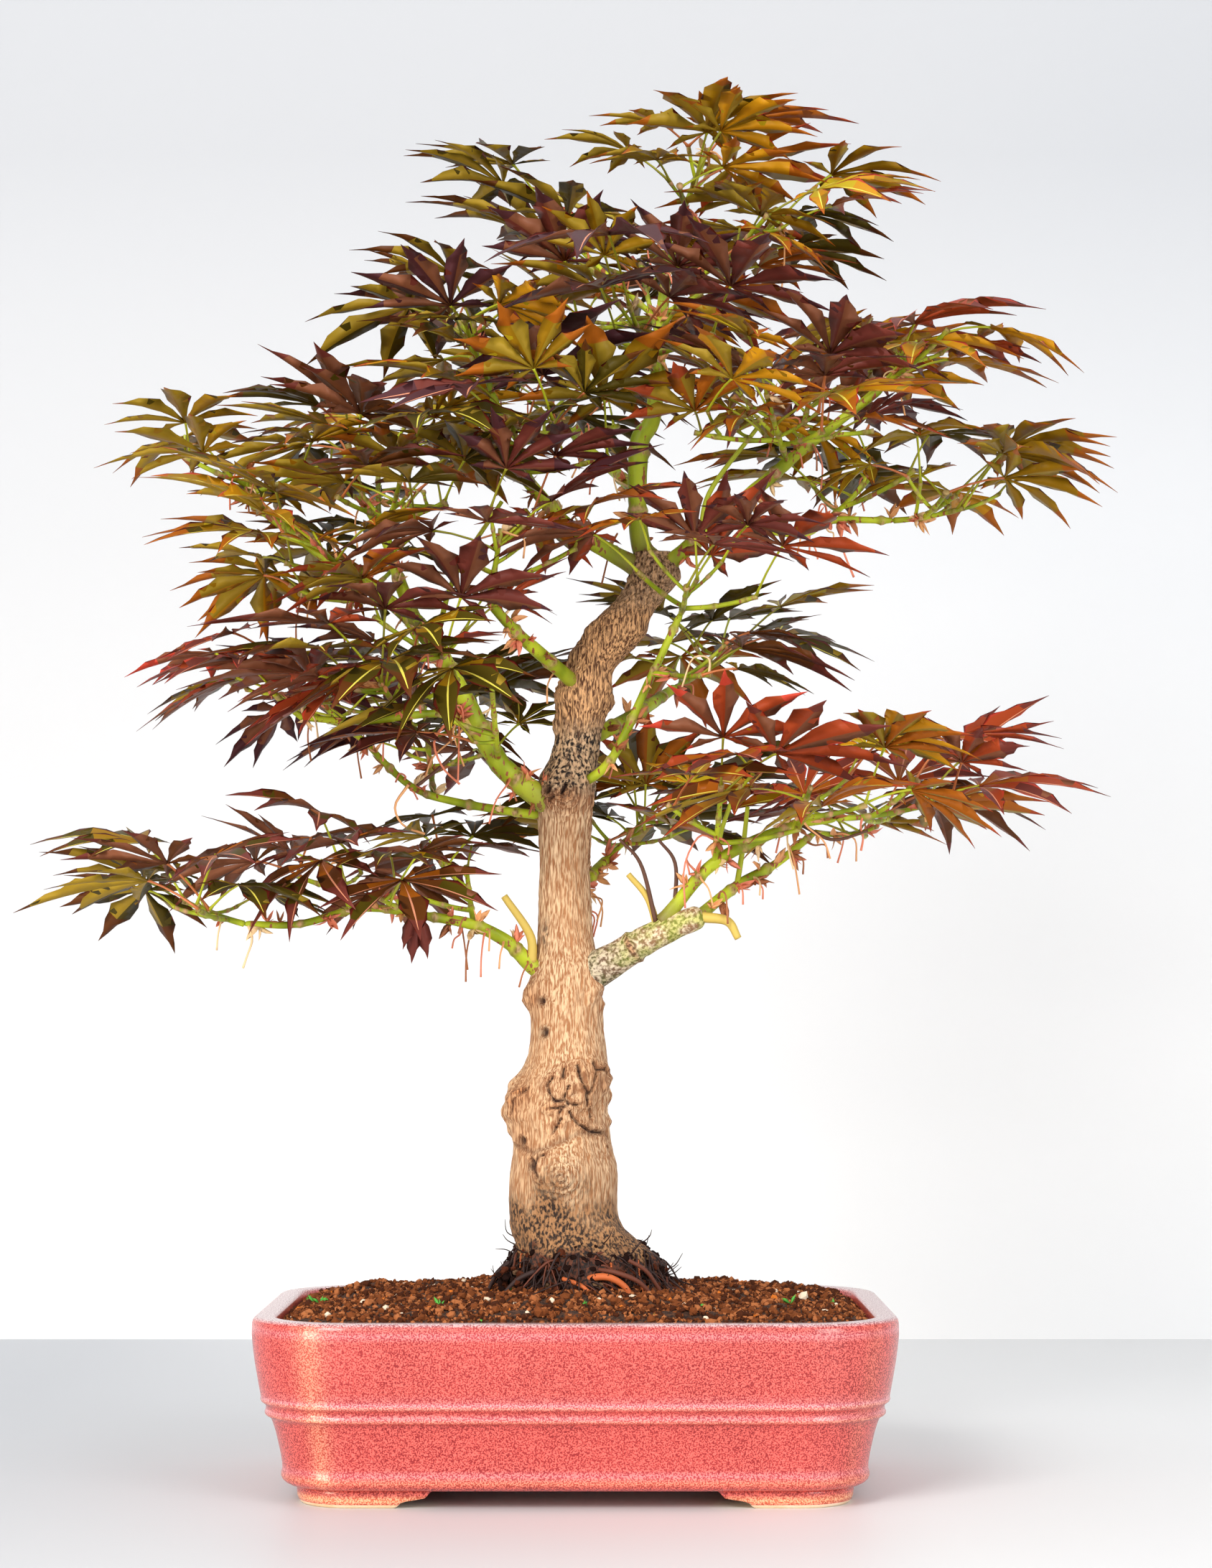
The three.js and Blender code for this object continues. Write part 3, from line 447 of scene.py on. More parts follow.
# %% The pot's wall, feet and drains
PROFILE = OUTSIDE + INSIDE
wall_points = np.concatenate([pot_ring(inset, z) for inset, z in PROFILE])
wall_out = np.repeat([1] * len(OUTSIDE) + [0] * len(INSIDE), PLAN)
# The gap under a side rises in from half its width by these distances to these heights.
GAP = {"long": 78, "short": 54}
GAP_IN = np.array([19.5, 16.4, 14.6, 13.4, 12.2, 8, 4, 1.6, 0.4, -0.6, -1.5])
GAP_HEIGHT = np.array([8.6, 8.1, 7, 5.6, 4.4, 3.7, 3.1, 2.3, 1, 0.3, 0])


def gap_height(along, half):
    """Height of the gap under one side: clear up to the pot between the feet, then a slope and a step."""
    return np.interp(np.abs(along), half - GAP_IN, GAP_HEIGHT)


def foot_stops(half_gap, half_side):
    """Places along a straight side, from 0 to 1, where the gap's outline has its points."""
    off = (half_gap - GAP_IN) / (2 * half_side)
    return np.sort(np.concatenate([0.5 - off, 0.5 + off]))


FOOT_STOPS = foot_stops(GAP["long"], STRAIGHT[0]), foot_stops(GAP["short"], STRAIGHT[1])
FOOT_PLAN = 4 * (PER_CORNER + 2 * len(GAP_IN))


def foot_ring(inset, height, lift=0.0):
    """The plan under the wall, with the gaps cut out of its height from below."""
    ring = pot_ring(inset, height, FOOT_STOPS)
    gap = np.maximum(gap_height(ring[:, 0], GAP["long"]), gap_height(ring[:, 1], GAP["short"]))
    ring[:, 2] = np.maximum(height, gap + lift)
    return ring


# The feet's profile: inset, height, and how far its points under the pot stay above the gap's outline.
FEET = [
    (28, 9.5, 0.4), (20.6, 9.5, 0.4), (20.5, 6, 0.3), (20.7, 3.4, 0.2), (21.4, 1.6, 0.1), (22.2, 0.6, 0.05),
    (23, 0, 0), (41, 0, 0), (42.3, 1, 0.1), (42.5, 9.5, 0.4),
]
# Rows of faces from this point of the profile to that one are bare clay.
UNGLAZED = 4, 8
foot_points = np.concatenate([foot_ring(*row) for row in FEET])
foot_faces = ring_faces(len(FEET), FOOT_PLAN, close=True)
foot_rows = np.repeat(np.arange(len(FEET)), FOOT_PLAN)
bare = (foot_rows >= UNGLAZED[0]) & (foot_rows <= UNGLAZED[1])
print("feet", len(foot_points), "points,", bare.sum(), "faces of bare clay")

# %% Where the glaze runs thin, and its painted reflection and highlight
# Rings where it runs thin, and rings of painted lilac reflection: how strongly, half width, and height.
THIN = [(0.3, 0.7, 45.2), (0.28, 0.7, 39.3), (0.3, 1.4, 12), (0.9, 1.6, 3.4)]
REFLECTION_RINGS = [(0.4, 1.4, 77), (0.8, 1.3, 46.4), (0.5, 1.3, 40.6), (0.4, 1.6, 15)]
# Peach down the corners: thin glaze from a pour, and on the front-left corner a painted highlight. How
# strongly, half width, and middle, in degrees round the pot.
POURS_AND_HIGHLIGHT = [(0.3, 8, 248), (0.1, 7, 316), (0.2, 8, 44), (0.12, 8, 136)]


def glaze_values(points, out):
    """Where the glaze runs thin, on ridges and down some corners, with a painted highlight down the front-left
    corner; where a painted lilac reflection lies, in the hollows above the ridges; and where the rim is. A
    corner's angle is that of its quarter circle."""
    height = points[:, 2]
    way = np.sign(points[:, :2]) * np.clip(np.abs(points[:, :2]) - STRAIGHT, 0, None)
    round_it = np.degrees(np.arctan2(way[:, 1], way[:, 0])) % 360
    thin_glaze_and_highlight, painted_reflection = (sum(much * ridge(height, *ring) for much, *ring in rings) for rings in (THIN, REFLECTION_RINGS))
    on_corner = (np.linalg.norm(way, axis=1) > 20) * (height > 9)
    # The corners' peach: thin glaze, and on the front-left corner a painted highlight.
    for much, wide, middle in POURS_AND_HIGHLIGHT:
        thin_glaze_and_highlight = thin_glaze_and_highlight + much * ridge(wrapped(round_it - middle, 180), wide) * on_corner
    rim = np.clip((height - 80.9) / 0.7, 0, 1)
    return {"thin_glaze_and_highlight": np.clip(thin_glaze_and_highlight, 0, 1) * out, "painted_reflection": painted_reflection * out, "rim": rim}


wall_values, foot_values = glaze_values(wall_points, wall_out), glaze_values(foot_points, 1)
print("thin glaze on", (wall_values["thin_glaze_and_highlight"] > 0.2).mean().round(2), "of the wall's points")

# %% The glaze and the bare clay
glaze = new_finish("rose_glaze", (186, 42, 44), Roughness=0.36, Coat_Weight=0.55, Coat_Roughness=0.15)
tree = glaze.node_tree
fine, broad = place_mottle(tree, 1500.0, 24.0, contrast=0.07)
grain = blend(tree, fine, (128, 4, 12), (248, 114, 102))
cloud = blend(tree, broad, (174, 26, 26), (208, 52, 50))
colour = layered(tree, blend(tree, 0.25, grain, cloud), [
    # Painted lilac reflection in the hollows above the ridges and under the rim; then peach for thin glaze,
    # with a painted highlight on the front-left corner.
    ("painted_reflection", 0.8, fine, (204, 92, 108), (246, 186, 192)),
    ("thin_glaze_and_highlight", 1, fine, (226, 110, 70), (255, 206, 156)),
    ("rim", 1, fine, (150, 92, 96), (232, 206, 208)),
])
feed(glaze, "Base Color", colour)
roughen(glaze, fine, 0.0002, 0.25)
clay = new_finish("bare_clay", (244, 222, 190), Roughness=0.85)
tree = clay.node_tree
fine, broad = place_mottle(tree, 1400.0, 90.0)
feed(clay, "Base Color", blend(tree, broad, (238, 206, 164), (250, 232, 206)))
roughen(clay, fine, 0.0002, 0.4)

# %% The pot as two pieces, with its drains cut
WALL_FACES = tube_faces(1, len(PROFILE), PLAN)
pot = make_piece("glazed_pot", wall_points, WALL_FACES, [glaze, clay], values=wall_values)
feet = make_piece("pot_feet", foot_points, [foot_faces], [glaze, clay], bare, foot_values)
DRAIN_SIDES = 32


def cut_holes(piece, centres, radius, low, high):
    """Round holes along Z, cut by one mesh of cylinders."""
    angle = np.arange(DRAIN_SIDES) / DRAIN_SIDES * 2 * math.pi
    circle = radius * np.column_stack([np.cos(angle), np.sin(angle), 0 * angle])
    points = np.concatenate([circle + (x, y, z) for x, y in centres for z in (low, high)])
    cutter = make_piece("drain_cutter", points, tube_faces(len(centres), 2, DRAIN_SIDES), [glaze])
    boolean = piece.modifiers.new("drains", "BOOLEAN")
    boolean.operation = "DIFFERENCE"
    boolean.solver = "EXACT"
    boolean.object = cutter
    bpy.context.view_layer.update()
    shown = piece.evaluated_get(bpy.context.evaluated_depsgraph_get())
    piece.data = bpy.data.meshes.new_from_object(shown)
    piece.modifiers.clear()
    bpy.data.objects.remove(cutter)


cut_holes(pot, [(-62, 0), (62, 0)], 9, 5, 15)
pot.data.set_sharp_from_angle(angle=math.radians(50))
for piece in (pot, feet):
    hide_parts("pot")

# %% [markdown]
# ## The same chances as the solids
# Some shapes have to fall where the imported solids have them: the heaps in the soil and every large leaf. They
# could be read back from the solids, but their rule is shorter. So the solids' random numbers are made here
# once more: a state is multiplied by a constant and cut to a modulus, over and over.

# %% Seeded numbers
MODULUS, MULTIPLIER = 2147483647, 48271
SEED_FACTOR, SEED_START, THROWN_AWAY = 7919, 104729, 4


def roll_rows(seeds, count):
    """The first numbers of each seed, one row per number: the state starts from the seed, and a few numbers
    are thrown away before the first one."""
    state = (np.asarray(seeds, np.int64) * SEED_FACTOR + SEED_START) % MODULUS
    rows = []
    for _ in range(THROWN_AWAY + count):
        state = state * MULTIPLIER % MODULUS
        rows.append(state / MODULUS)
    return np.array(rows[THROWN_AWAY:])


def rolls(seed):
    """The same numbers one by one."""
    return iter(roll_rows([seed], 100)[:, 0].tolist())


def within(bounds, roll):
    """A value between two bounds, from a number between 0 and 1."""
    return mix(bounds[0], bounds[1], roll)


print("seed 1 starts with", roll_rows([1], 3)[:, 0].round(3))

# %% [markdown]
# ## The soil
# Baked-clay granules of about one to five millimetres fill the pot to a low mound. One wrinkled skin alone
# would look like mud, so the bed is a closed body, and chips lie half sunk in it: about 3,000 with twenty
# faces, and 12,900 small ones with eight. They are one mesh: all corners of all chips are one array sum.

# %% The mound and its heaps
# The mound's height at shares of the way in from the wall, and the flat pad under the trunk.
MOUND_SHARE = np.array([0, 0.1, 0.35, 0.65, 1])
MOUND_HEIGHT = np.array([77.5, 82.5, 85, 87, 90])
PAD = {"x": 1, "radius": 43}
# Heaps of granules in rings, each ring a share of the way in and a count, as on the solid.
HEAPS = {"rings": [(0.32, 18), (0.66, 12)], "radius": (9, 12), "out": (1.7, 2.8), "flat": 0.4}
# Half the length and the width of the oval that the soil fills.
SOIL_HALF = 133, 93


def heap_rows():
    """Middle, top and radius of every heap. The wall is taken as a rounded oblong here."""
    roll = rolls(17)
    half = POT["width"] / 2 - POT["rim"], POT["depth"] / 2 - POT["rim"]
    rows = []
    for share, count in HEAPS["rings"]:
        for i in range(count):
            angle = 2 * math.pi * (i + 0.6 * next(roll)) / count
            wall = ((math.cos(angle) / half[0]) ** 4 + (math.sin(angle) / half[1]) ** 4) ** -0.25
            reach = mix(wall, PAD["radius"], share)
            radius = within(HEAPS["radius"], next(roll))
            top = np.interp(share, MOUND_SHARE, MOUND_HEIGHT) + within(HEAPS["out"], next(roll))
            rows.append((reach * math.cos(angle), reach * math.sin(angle), top, radius))
    return np.array(rows)


heaps = heap_rows()
print("heaps", len(heaps), "up to", heaps[:, 2].max().round(1), "mm high")


def soil_height(plan, share):
    """The height of the mound at a share of the way in, a little waved, or the dome of a heap that is higher:
    its top, less its flatness times how far the circle has come down."""
    wave = wander(plan[:, 0] / 300 + 0.5, plan[:, 1] / 220 + 0.5, 26, 18, 3)
    level = np.clip(6 * np.minimum(share, 1.02 - share), 0, 1)
    mound = np.interp(share, MOUND_SHARE, MOUND_HEIGHT) - 0.3 + 0.8 * wave * level
    off = np.linalg.norm(plan[:, None] - heaps[None, :, :2], axis=2)
    fall = heaps[:, 3] - np.sqrt(np.clip(heaps[:, 3] ** 2 - off**2, 0, None))
    domes = np.where(off < heaps[:, 3], heaps[:, 2] - HEAPS["flat"] * fall, 0)
    return np.maximum(mound, domes.max(1) - 0.2)


def on_soil(plan, lift):
    """Places on the soil, raised by lift. The share of the way in is read off an oval here."""
    share = np.clip(1 - np.hypot(plan[:, 0] / SOIL_HALF[0], plan[:, 1] / SOIL_HALF[1]), 0, 1)
    return np.column_stack([plan, soil_height(plan, share) + lift])


# %% The bed
side = pot_ring(POT["rim"] + 0.6, MOUND_HEIGHT[0])
side_angle = np.arctan2(side[:, 1] / POT["depth"], side[:, 0] / POT["width"])
pad = np.column_stack([PAD["x"] + PAD["radius"] * np.cos(side_angle), PAD["radius"] * np.sin(side_angle)])


def bed_ring(share):
    """The bed's surface from the wall at 0 to the flat pad at 1."""
    plan = mix(side[:, :2], pad, share)
    return np.column_stack([plan, soil_height(plan, share)])


# The underside follows the inside of the wall, a little clear of it.
UNDERSIDE = [(27, 14), (21, 22), (13, 62), (11.3, 76.5)]
below = [pot_ring(inset + 0.3, z + 0.3) for inset, z in UNDERSIDE]
above = [bed_ring(share) for share in np.linspace(0, 1, 36)]
middle = np.array([PAD["x"], 0])
inner = [np.column_stack([mix(pad, middle, s), np.full(len(pad), MOUND_HEIGHT[-1])]) for s in (0.4, 0.75)]
rings = below + above + inner
soil_dark = new_finish("soil_dark", (58, 34, 22), Roughness=0.95)
fine, broad = place_mottle(soil_dark.node_tree, 700.0, 160.0, contrast=0.15)
feed(soil_dark, "Base Color", blend(soil_dark.node_tree, fine, (30, 17, 11), (92, 56, 34)))
roughen(soil_dark, fine, 0.0008)
bed_faces = tube_faces(1, len(rings), PLAN)
bed = make_piece("soil_bed", np.concatenate(rings), bed_faces, [soil_dark])
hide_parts("soil")

# %% Chips with twenty faces, and small ones with eight
GOLD = (1 + math.sqrt(5)) / 2
CHIP = np.array([(a, b * GOLD, 0) for a in (-1, 1) for b in (-1, 1)])
CHIP = unit(np.concatenate([CHIP, np.roll(CHIP, 1, 1), np.roll(CHIP, 2, 1)]).astype(float))
edges = np.linalg.norm(CHIP[:, None] - CHIP[None], axis=-1)
near = (edges > 0.1) & (edges < 1.1)
threes = [(a, b, c) for a in range(12) for b in range(a) for c in range(b)]
chip_faces = [(a, b, c) for a, b, c in threes if near[a, b] and near[b, c] and near[a, c]]
turned = [np.dot(np.cross(CHIP[b] - CHIP[a], CHIP[c] - CHIP[a]), CHIP[a]) < 0 for a, b, c in chip_faces]
CHIP_FACES = np.array([(a, c, b) if flip else (a, b, c) for (a, b, c), flip in zip(chip_faces, turned)])

chance = np.random.default_rng(11)


def random_turns(count):
    """Turning matrices from random quaternions of length one."""
    w, x, y, z = unit(chance.normal(size=(count, 4))).T
    rows = [[1 - 2 * (y * y + z * z), 2 * (x * y - w * z), 2 * (x * z + w * y)],
            [2 * (x * y + w * z), 1 - 2 * (x * x + z * z), 2 * (y * z - w * x)],
            [2 * (x * z - w * y), 2 * (y * z + w * x), 1 - 2 * (x * x + y * y)]]
    return np.moveaxis(np.array(rows), -1, 0)


BIT = np.array([(1, 0, 0), (-1, 0, 0), (0, 1, 0), (0, -1, 0), (0, 0, 1), (0, 0, -1)], float)
bit_faces = [(x, y, z, BIT[x, 0] * BIT[y, 1] * BIT[z, 2] > 0) for x in (0, 1) for y in (2, 3) for z in (4, 5)]
BIT_FACES = np.array([(x, y, z) if kept else (x, z, y) for x, y, z, kept in bit_faces])


def chips(middles, sizes, corners=CHIP, faces=CHIP_FACES):
    """Chips: a solid with each corner pushed in or out, squeezed, turned, scaled and placed."""
    count = len(middles)
    pushed = chance.uniform(0.72, 1.2, (count, len(corners), 1)) * chance.uniform(0.7, 1.2, (count, 1, 3))
    turned = np.einsum("nij,nkj->nki", random_turns(count), corners * pushed)
    points = turned * np.asarray(sizes)[:, None, None] + middles[:, None]
    rows = faces[None] + len(corners) * np.arange(count)[:, None, None]
    return points.reshape(-1, 3), rows.reshape(-1, 3)


# %% Places on the bed
def on_bed(count):
    """Random places on the bed, evenly spread: a share of the way from a random point of the wall to the pad,
    kept with a chance that falls as the ring there gets shorter."""
    step = np.linalg.norm(np.roll(side[:, :2], -1, 0) - side[:, :2], axis=1)
    start = chance.choice(PLAN, 3 * count, p=step / step.sum())
    edge = mix(side[start, :2], side[(start + 1) % PLAN, :2], chance.random((3 * count, 1)))
    inner = mix(pad[start], pad[(start + 1) % PLAN], 0.5)
    share = chance.random(3 * count)
    ring = (1 - share) + share * PAD["radius"] / np.linalg.norm(edge, axis=1)
    keep = chance.random(3 * count) < ring
    plan = mix(edge, inner, share[:, None])[keep][:count]
    return np.column_stack([plan, soil_height(plan, share[keep][:count])])


# Spots on the pad round the foot of the trunk: how many, how far out, and how high.
PAD_SPOTS, PAD_REACH, PAD_HEIGHT = 500, (33, 44), 90.2
# Chips lie at least this far in from the pot's outside.
WALL_CLEAR = 11.2


def strew(count, middle, widest, shares):
    """Places, sizes and tones of chips on the bed and round the foot of the trunk. The logarithms of the
    sizes lie in a bell round a middle one, and only chips inside the pot's wall are kept."""
    places = on_bed(count)
    angle, reach = chance.random(PAD_SPOTS) * 2 * math.pi, chance.uniform(*PAD_REACH, PAD_SPOTS)
    height = np.full(PAD_SPOTS, PAD_HEIGHT)
    pad_places = np.column_stack([PAD["x"] + reach * np.cos(angle), reach * np.sin(angle), height])
    places = np.concatenate([places, pad_places])
    sizes = np.clip(chance.lognormal(math.log(middle), 0.22, len(places)), 0.6 * middle, widest)
    places[:, 2] += 0.25 * sizes
    tone = chance.choice(len(SOIL_TONES), len(places), p=shares)
    half = POT["width"] / 2 - WALL_CLEAR, POT["depth"] / 2 - WALL_CLEAR
    keep = (np.abs(places[:, :2]) + sizes[:, None] < half).all(1)
    return places[keep], sizes[keep], tone[keep]


# %% The granules
SOIL_TONES = {
    "granule_dark": (70, 34, 16), "granule_brown": (118, 64, 32), "granule_warm": (168, 102, 60),
    "granule_pale": (236, 216, 190), "granule_orange": (214, 118, 44), "granule_green": (84, 168, 66),
}
soil_tones = finishes(SOIL_TONES, Roughness=0.92, Specular_IOR_Level=0.15)
# Single stones in front of the trunk: x, y, size and tone.
STONES = np.array([
    (-10.4, -45, 2.3, 3), (9.2, -46, 2.6, 3), (42, -50, 2.2, 4), (44, -53, 1.6, 4), (-78, -50, 1.7, 3),
    (-48, -62, 1.9, 3), (20, -56, 1.5, 3), (88, -44, 1.8, 3), (-104, -30, 1.6, 3),
])
places, sizes, tone = strew(2500, 1.45, 2.5, [0.36, 0.4, 0.215, 0.015, 0.007, 0.003])
places = np.concatenate([places, on_soil(STONES[:, :2], 1)])
sizes = np.concatenate([sizes, STONES[:, 2]])
tone = np.concatenate([tone, STONES[:, 3].astype(int)])
large, large_faces = chips(places, sizes)
places, sizes, small_tone = strew(12500, 1.0, 1.5, [0.36, 0.38, 0.25, 0.006, 0.003, 0.001])
small, small_faces = chips(places, sizes, BIT, BIT_FACES)
faces = np.concatenate([large_faces, small_faces + len(large)])
finish = np.concatenate([np.repeat(tone, len(CHIP_FACES)), np.repeat(small_tone, len(BIT_FACES))])
points = np.concatenate([large, small])
granules = make_piece("soil_granules", points, [faces], soil_tones, finish, flat=True)
print("granules", len(tone), "large and", len(small_tone), "small")

# %% [markdown]
# ## The trunk
# An old trunk isn't a cylinder with a picture of bark on it: the outline itself swells, creases and flares
# into roots. So it is a sheet of rings and sides whose radius is a sum of heights: the smooth line through
# the knots, knobs, long swells, upright fibres, and marks that were read off the front one by one. The same
# marks are stored on the points, so that the colour knows where a crack or a scar lies.

# %% The line of the trunk and its knobs, as x, y, z and radius
TRUNK = np.array([
    [1.5, 0, 90.3, 35], [2.5, 0, 97, 33], [2.8, 0, 104, 30.8], [-1.4, 0, 112, 27.5], [-5.5, 0, 121, 25.2],
    [-5.6, 0, 142, 25], [-6.5, 0, 157, 22.4], [-8.4, 0, 170, 22], [-6.4, 0, 184, 20.6], [-4.4, 1, 196, 18.2],
    [-3.9, 2, 220, 16.6], [-3.4, 3, 236, 15.8], [-5.2, 4, 251, 13.2], [-6, 5, 280, 11.7], [-6, 6, 304, 12.4],
    [-5, 6, 322, 13.2], [-2, 6, 334, 10.9], [0.4, 6, 351, 10.4], [2, 6, 366, 12], [5.6, 6, 380, 10.7],
    [14.5, 5, 393, 12.8], [22, 4, 404, 12], [30, 3, 413, 10.6], [36.5, 2, 423, 12], [36, 2, 434, 8.6],
])
# Height, angle round the trunk in degrees, how far each knob stands out, and its reach.
KNOBS = [
    (94, -20, 6, 24), (92, 200, 2, 20), (95, 70, 5, 24), (94, 270, 4, 20), (146, 262, 4, 18),
    (176, 170, 4, 20), (188, 290, 3, 20), (228, 195, 3, 17), (324, 250, 3, 17), (366, 10, 2.5, 16),
    (391, -15, 4, 17), (226, 198, 2.6, 6), (221, 190, 2, 5), (227, -38, 1.6, 6), (221, -20, 1.8, 4),
    (117, -38, 2.4, 6), (183, -18, 1.6, 5), (172, -22, 1.4, 4), (178, 200, 1.5, 6), (158, 200, 1.6, 6),
    (400, 80, 3, 10), (385, 200, 2, 7), (341, 30, 1.6, 7), (423, -60, 2, 8), (330, 180, 1.6, 6),
    (150, 60, 3, 14), (250, 90, 2, 9), (186, -3, 2, 3.6), (178, -5, 1.6, 3.2), (166, -6, 1.6, 3),
    (184, 183, 1.8, 4), (170, 181, 1.5, 4), (161, 184, 1.4, 3), (362, 5, 2.2, 6), (352, 190, 1.5, 5),
    (376, -85, 1.7, 6), (398, 205, 2.2, 6), (411, -70, 2, 6), (369, -30, 1.4, 5),
]


def smooth_line(knots, places):
    """Points of the line through knots at places from 0 to 1. Between two knots it is the cubic whose slope
    at each knot is half the step from the knot before to the knot after."""
    knots = np.asarray(knots, float)
    padded = np.vstack([2 * knots[0] - knots[1], knots, 2 * knots[-1] - knots[-2]])
    at = np.asarray(places, float) * (len(knots) - 1)
    span = np.minimum(np.floor(at).astype(int), len(knots) - 2)
    t = (at - span)[:, None]
    before, start, end, after = (padded[span + i] for i in range(4))
    slope, next_slope = 0.5 * (end - before), 0.5 * (after - start)
    cubic = 2 * start - 2 * end + slope + next_slope
    square = -3 * start + 3 * end - 2 * slope - next_slope
    return ((cubic * t + square) * t + slope) * t + start


def tube_piece(name, middles, radii, sides, materials, tone=None, values=None):
    """A piece of closed tubes with the same number of rings, each in one tone where tones are given."""
    count, rings, _ = middles.shape
    points = skin(middles, radii, sides).reshape(-1, 3)
    finish = None if tone is None else tube_finish(tone, rings, sides)
    return make_piece(name, points, tube_faces(count, rings, sides), materials, finish, values)


def rod_piece(name, paths, tone, materials, rings, sides):
    """A piece of closed rods along smooth lines through points given as x, y, z and radius."""
    lines = np.array([smooth_line(path, np.linspace(0, 1, rings)) for path in paths])
    return tube_piece(name, lines[..., :3], lines[..., 3:], sides, materials, tone)


dense = smooth_line(TRUNK, np.linspace(0, 1, 3000))


def trunk_at(z):
    """Middle and radius of the trunk at heights z, read off the smooth line."""
    return [np.interp(z, dense[:, 2], dense[:, axis]) for axis in (0, 1, 3)]


print("trunk", dense[:, 2].min(), dense[:, 2].max(), "mm high, radius", dense[:, 3].min(), dense[:, 3].max())

# %% Marks on the front, read in millimetres as x and z
CRACKS = [
    [(0, 192), (1.8, 185), (3.9, 180.4), (4.8, 174)],
    [(6.5, 193.7), (7.8, 190.3), (6.9, 184.2), (4.8, 179)],
    [(7.8, 190.3), (12.3, 190.6), (13.4, 187.7)],
    [(-5.6, 191), (-6.3, 186.8)],
    [(-3.8, 182.5), (-5.6, 177.8), (-3.8, 175.2), (0.9, 173.9)],
    [(-10.7, 186.8), (-13.3, 183.4), (-12, 179), (-9.4, 176), (-5.1, 176.4), (-3.8, 174)],
    [(-3.8, 174), (-8.1, 173), (-13.3, 172.6)],
    [(-5.6, 174), (-7.7, 171), (-6.9, 168), (-9, 164), (-10.7, 161)],
    [(-3.4, 171.3), (-1.7, 168), (1.3, 165), (6.5, 162), (12.4, 161)],
    [(6, 172.2), (6.9, 168.7)],
    [(-20.2, 150.3), (-17.6, 147.2), (-18, 143.8), (-16.7, 141.2)],
    [(-17.6, 147.2), (-16.7, 150.7), (-13.7, 151.5)],
    [(-21.9, 182), (-26.5, 177), (-28.6, 170)],
    [(-18, 318.5), (-12, 316.5), (-7, 319), (-5, 323)],
    [(4, 331), (6.4, 322), (6, 312), (6.6, 300)],
    [(5.4, 296), (5.2, 288)],
]
CREASE = [(-27.9, 155), (-18.5, 152.6), (-9.9, 156.3), (0.5, 161), (13.4, 161), (15.4, 158)]
# Round scars and warm stains, as x, z and reach, and the middles of two scars with rings.
SCARS = [
    (-14.2, 207.5, 2.6), (-24, 157.6, 2.2), (14, 154.6, 0.9), (-12, 321, 2.6), (-15, 222, 2.2), (-19, 146, 2),
]
STAINS = [(-19, 224, 7), (13, 224, 6), (-5, 319, 10), (-24, 158, 6), (-26, 178, 8), (12, 184, 7)]
RINGED_SCARS = [(-6.4, 140.8), (-5, 319)]
# Millimetres from ring to ring, in such scars and up the top of the trunk.
RING_STEP = 3.1


def far_from(arc, z, path):
    """Distance on the bark, in millimetres, from each point to a path of x and z. x is taken round the front:
    the arc is the radius times the angle whose sine is x over the radius."""
    path = np.array(path, float)
    cx, _, r = trunk_at(path[:, 1])
    path[:, 0] = r * np.arcsin(np.clip((path[:, 0] - cx) / r, -0.98, 0.98))
    best = np.full(arc.shape, 1e3)
    for a, b in zip(path[:-1], path[1:]):
        way = b - a
        share = np.clip(((arc - a[0]) * way[0] + (z - a[1]) * way[1]) / (way @ way), 0, 1)
        best = np.minimum(best, np.hypot(arc - a[0] - share * way[0], z - a[1] - share * way[1]))
    return best


print("cracks", len(CRACKS), "scars", len(SCARS) + len(RINGED_SCARS), "stains", len(STAINS))

# %% The bark's rings and sides
SIDES, RINGS = 192, 480
BARK_LOW, BARK_HIGH = 87.5, 434
z = np.linspace(BARK_LOW, BARK_HIGH, RINGS)[:, None]
angle = (np.arange(SIDES) / SIDES * 2 * math.pi)[None]
heights = z + 0 * angle
u, v = angle / (2 * math.pi) + 0 * z, (z - BARK_LOW) / (BARK_HIGH - BARK_LOW) + 0 * angle
cx, cy, r = (value[:, None] for value in trunk_at(z[:, 0]))
# Millimetres round the bark from the middle of the front.
arc = wrapped(angle + math.pi / 2) * r


def climb(low, high):
    """How far each ring has come from one height to another, from 0 to 1."""
    return np.clip((z - low) / (high - low), 0, 1)


def spot_off(x, at):
    """Distance on the bark from each point to one spot."""
    return far_from(arc, heights, [(x, at - 0.05), (x, at + 0.05)])


print("bark", u.shape, "rings and sides, up to", np.abs(arc).max().round(1), "mm from the front's middle")

# %% Swells, fibres and lumps
swell = np.zeros_like(u)
for knob_z, knob_angle, out, reach in KNOBS:
    off = wrapped(angle - math.radians(knob_angle))
    swell += out * np.exp(-2 * ((off * r) ** 2 + (z - knob_z) ** 2) / reach**2)
foot, upper, top = 1 - climb(96, 122), climb(322, 344), climb(345, 360)
bend = 0.004 * wander(u, v, 12, 40, 21)
fibre = wander(u + bend, v, 92, 58, 22) + 0.6 * wander(u + bend, v, 150, 90, 23)
rough = wander(u, v, 34, 130, 24) + 0.6 * wander(u, v, 70, 260, 25)
ribs = np.abs(wander(u + 2 * bend, v, 16, 14, 26)) - 0.4
lumps = wander(u, v, 22, 46, 29)
knots_near = ridge(z, 16, 175) + ridge(z, 7, 323) + ridge(z, 6, 224)
relief = 0.7 * wander(u, v, 9, 17, 27) + 0.26 * fibre * (1 - 0.5 * foot) + rough * (0.9 * foot + 0.34 * upper)
relief += (2.6 * ribs + 2.7 * np.maximum(lumps, -0.7) + 1.1 * np.abs(rough)) * foot
relief += (0.5 * rough + 0.8 * np.maximum(lumps, -0.4)) * np.clip(knots_near, 0, 1)
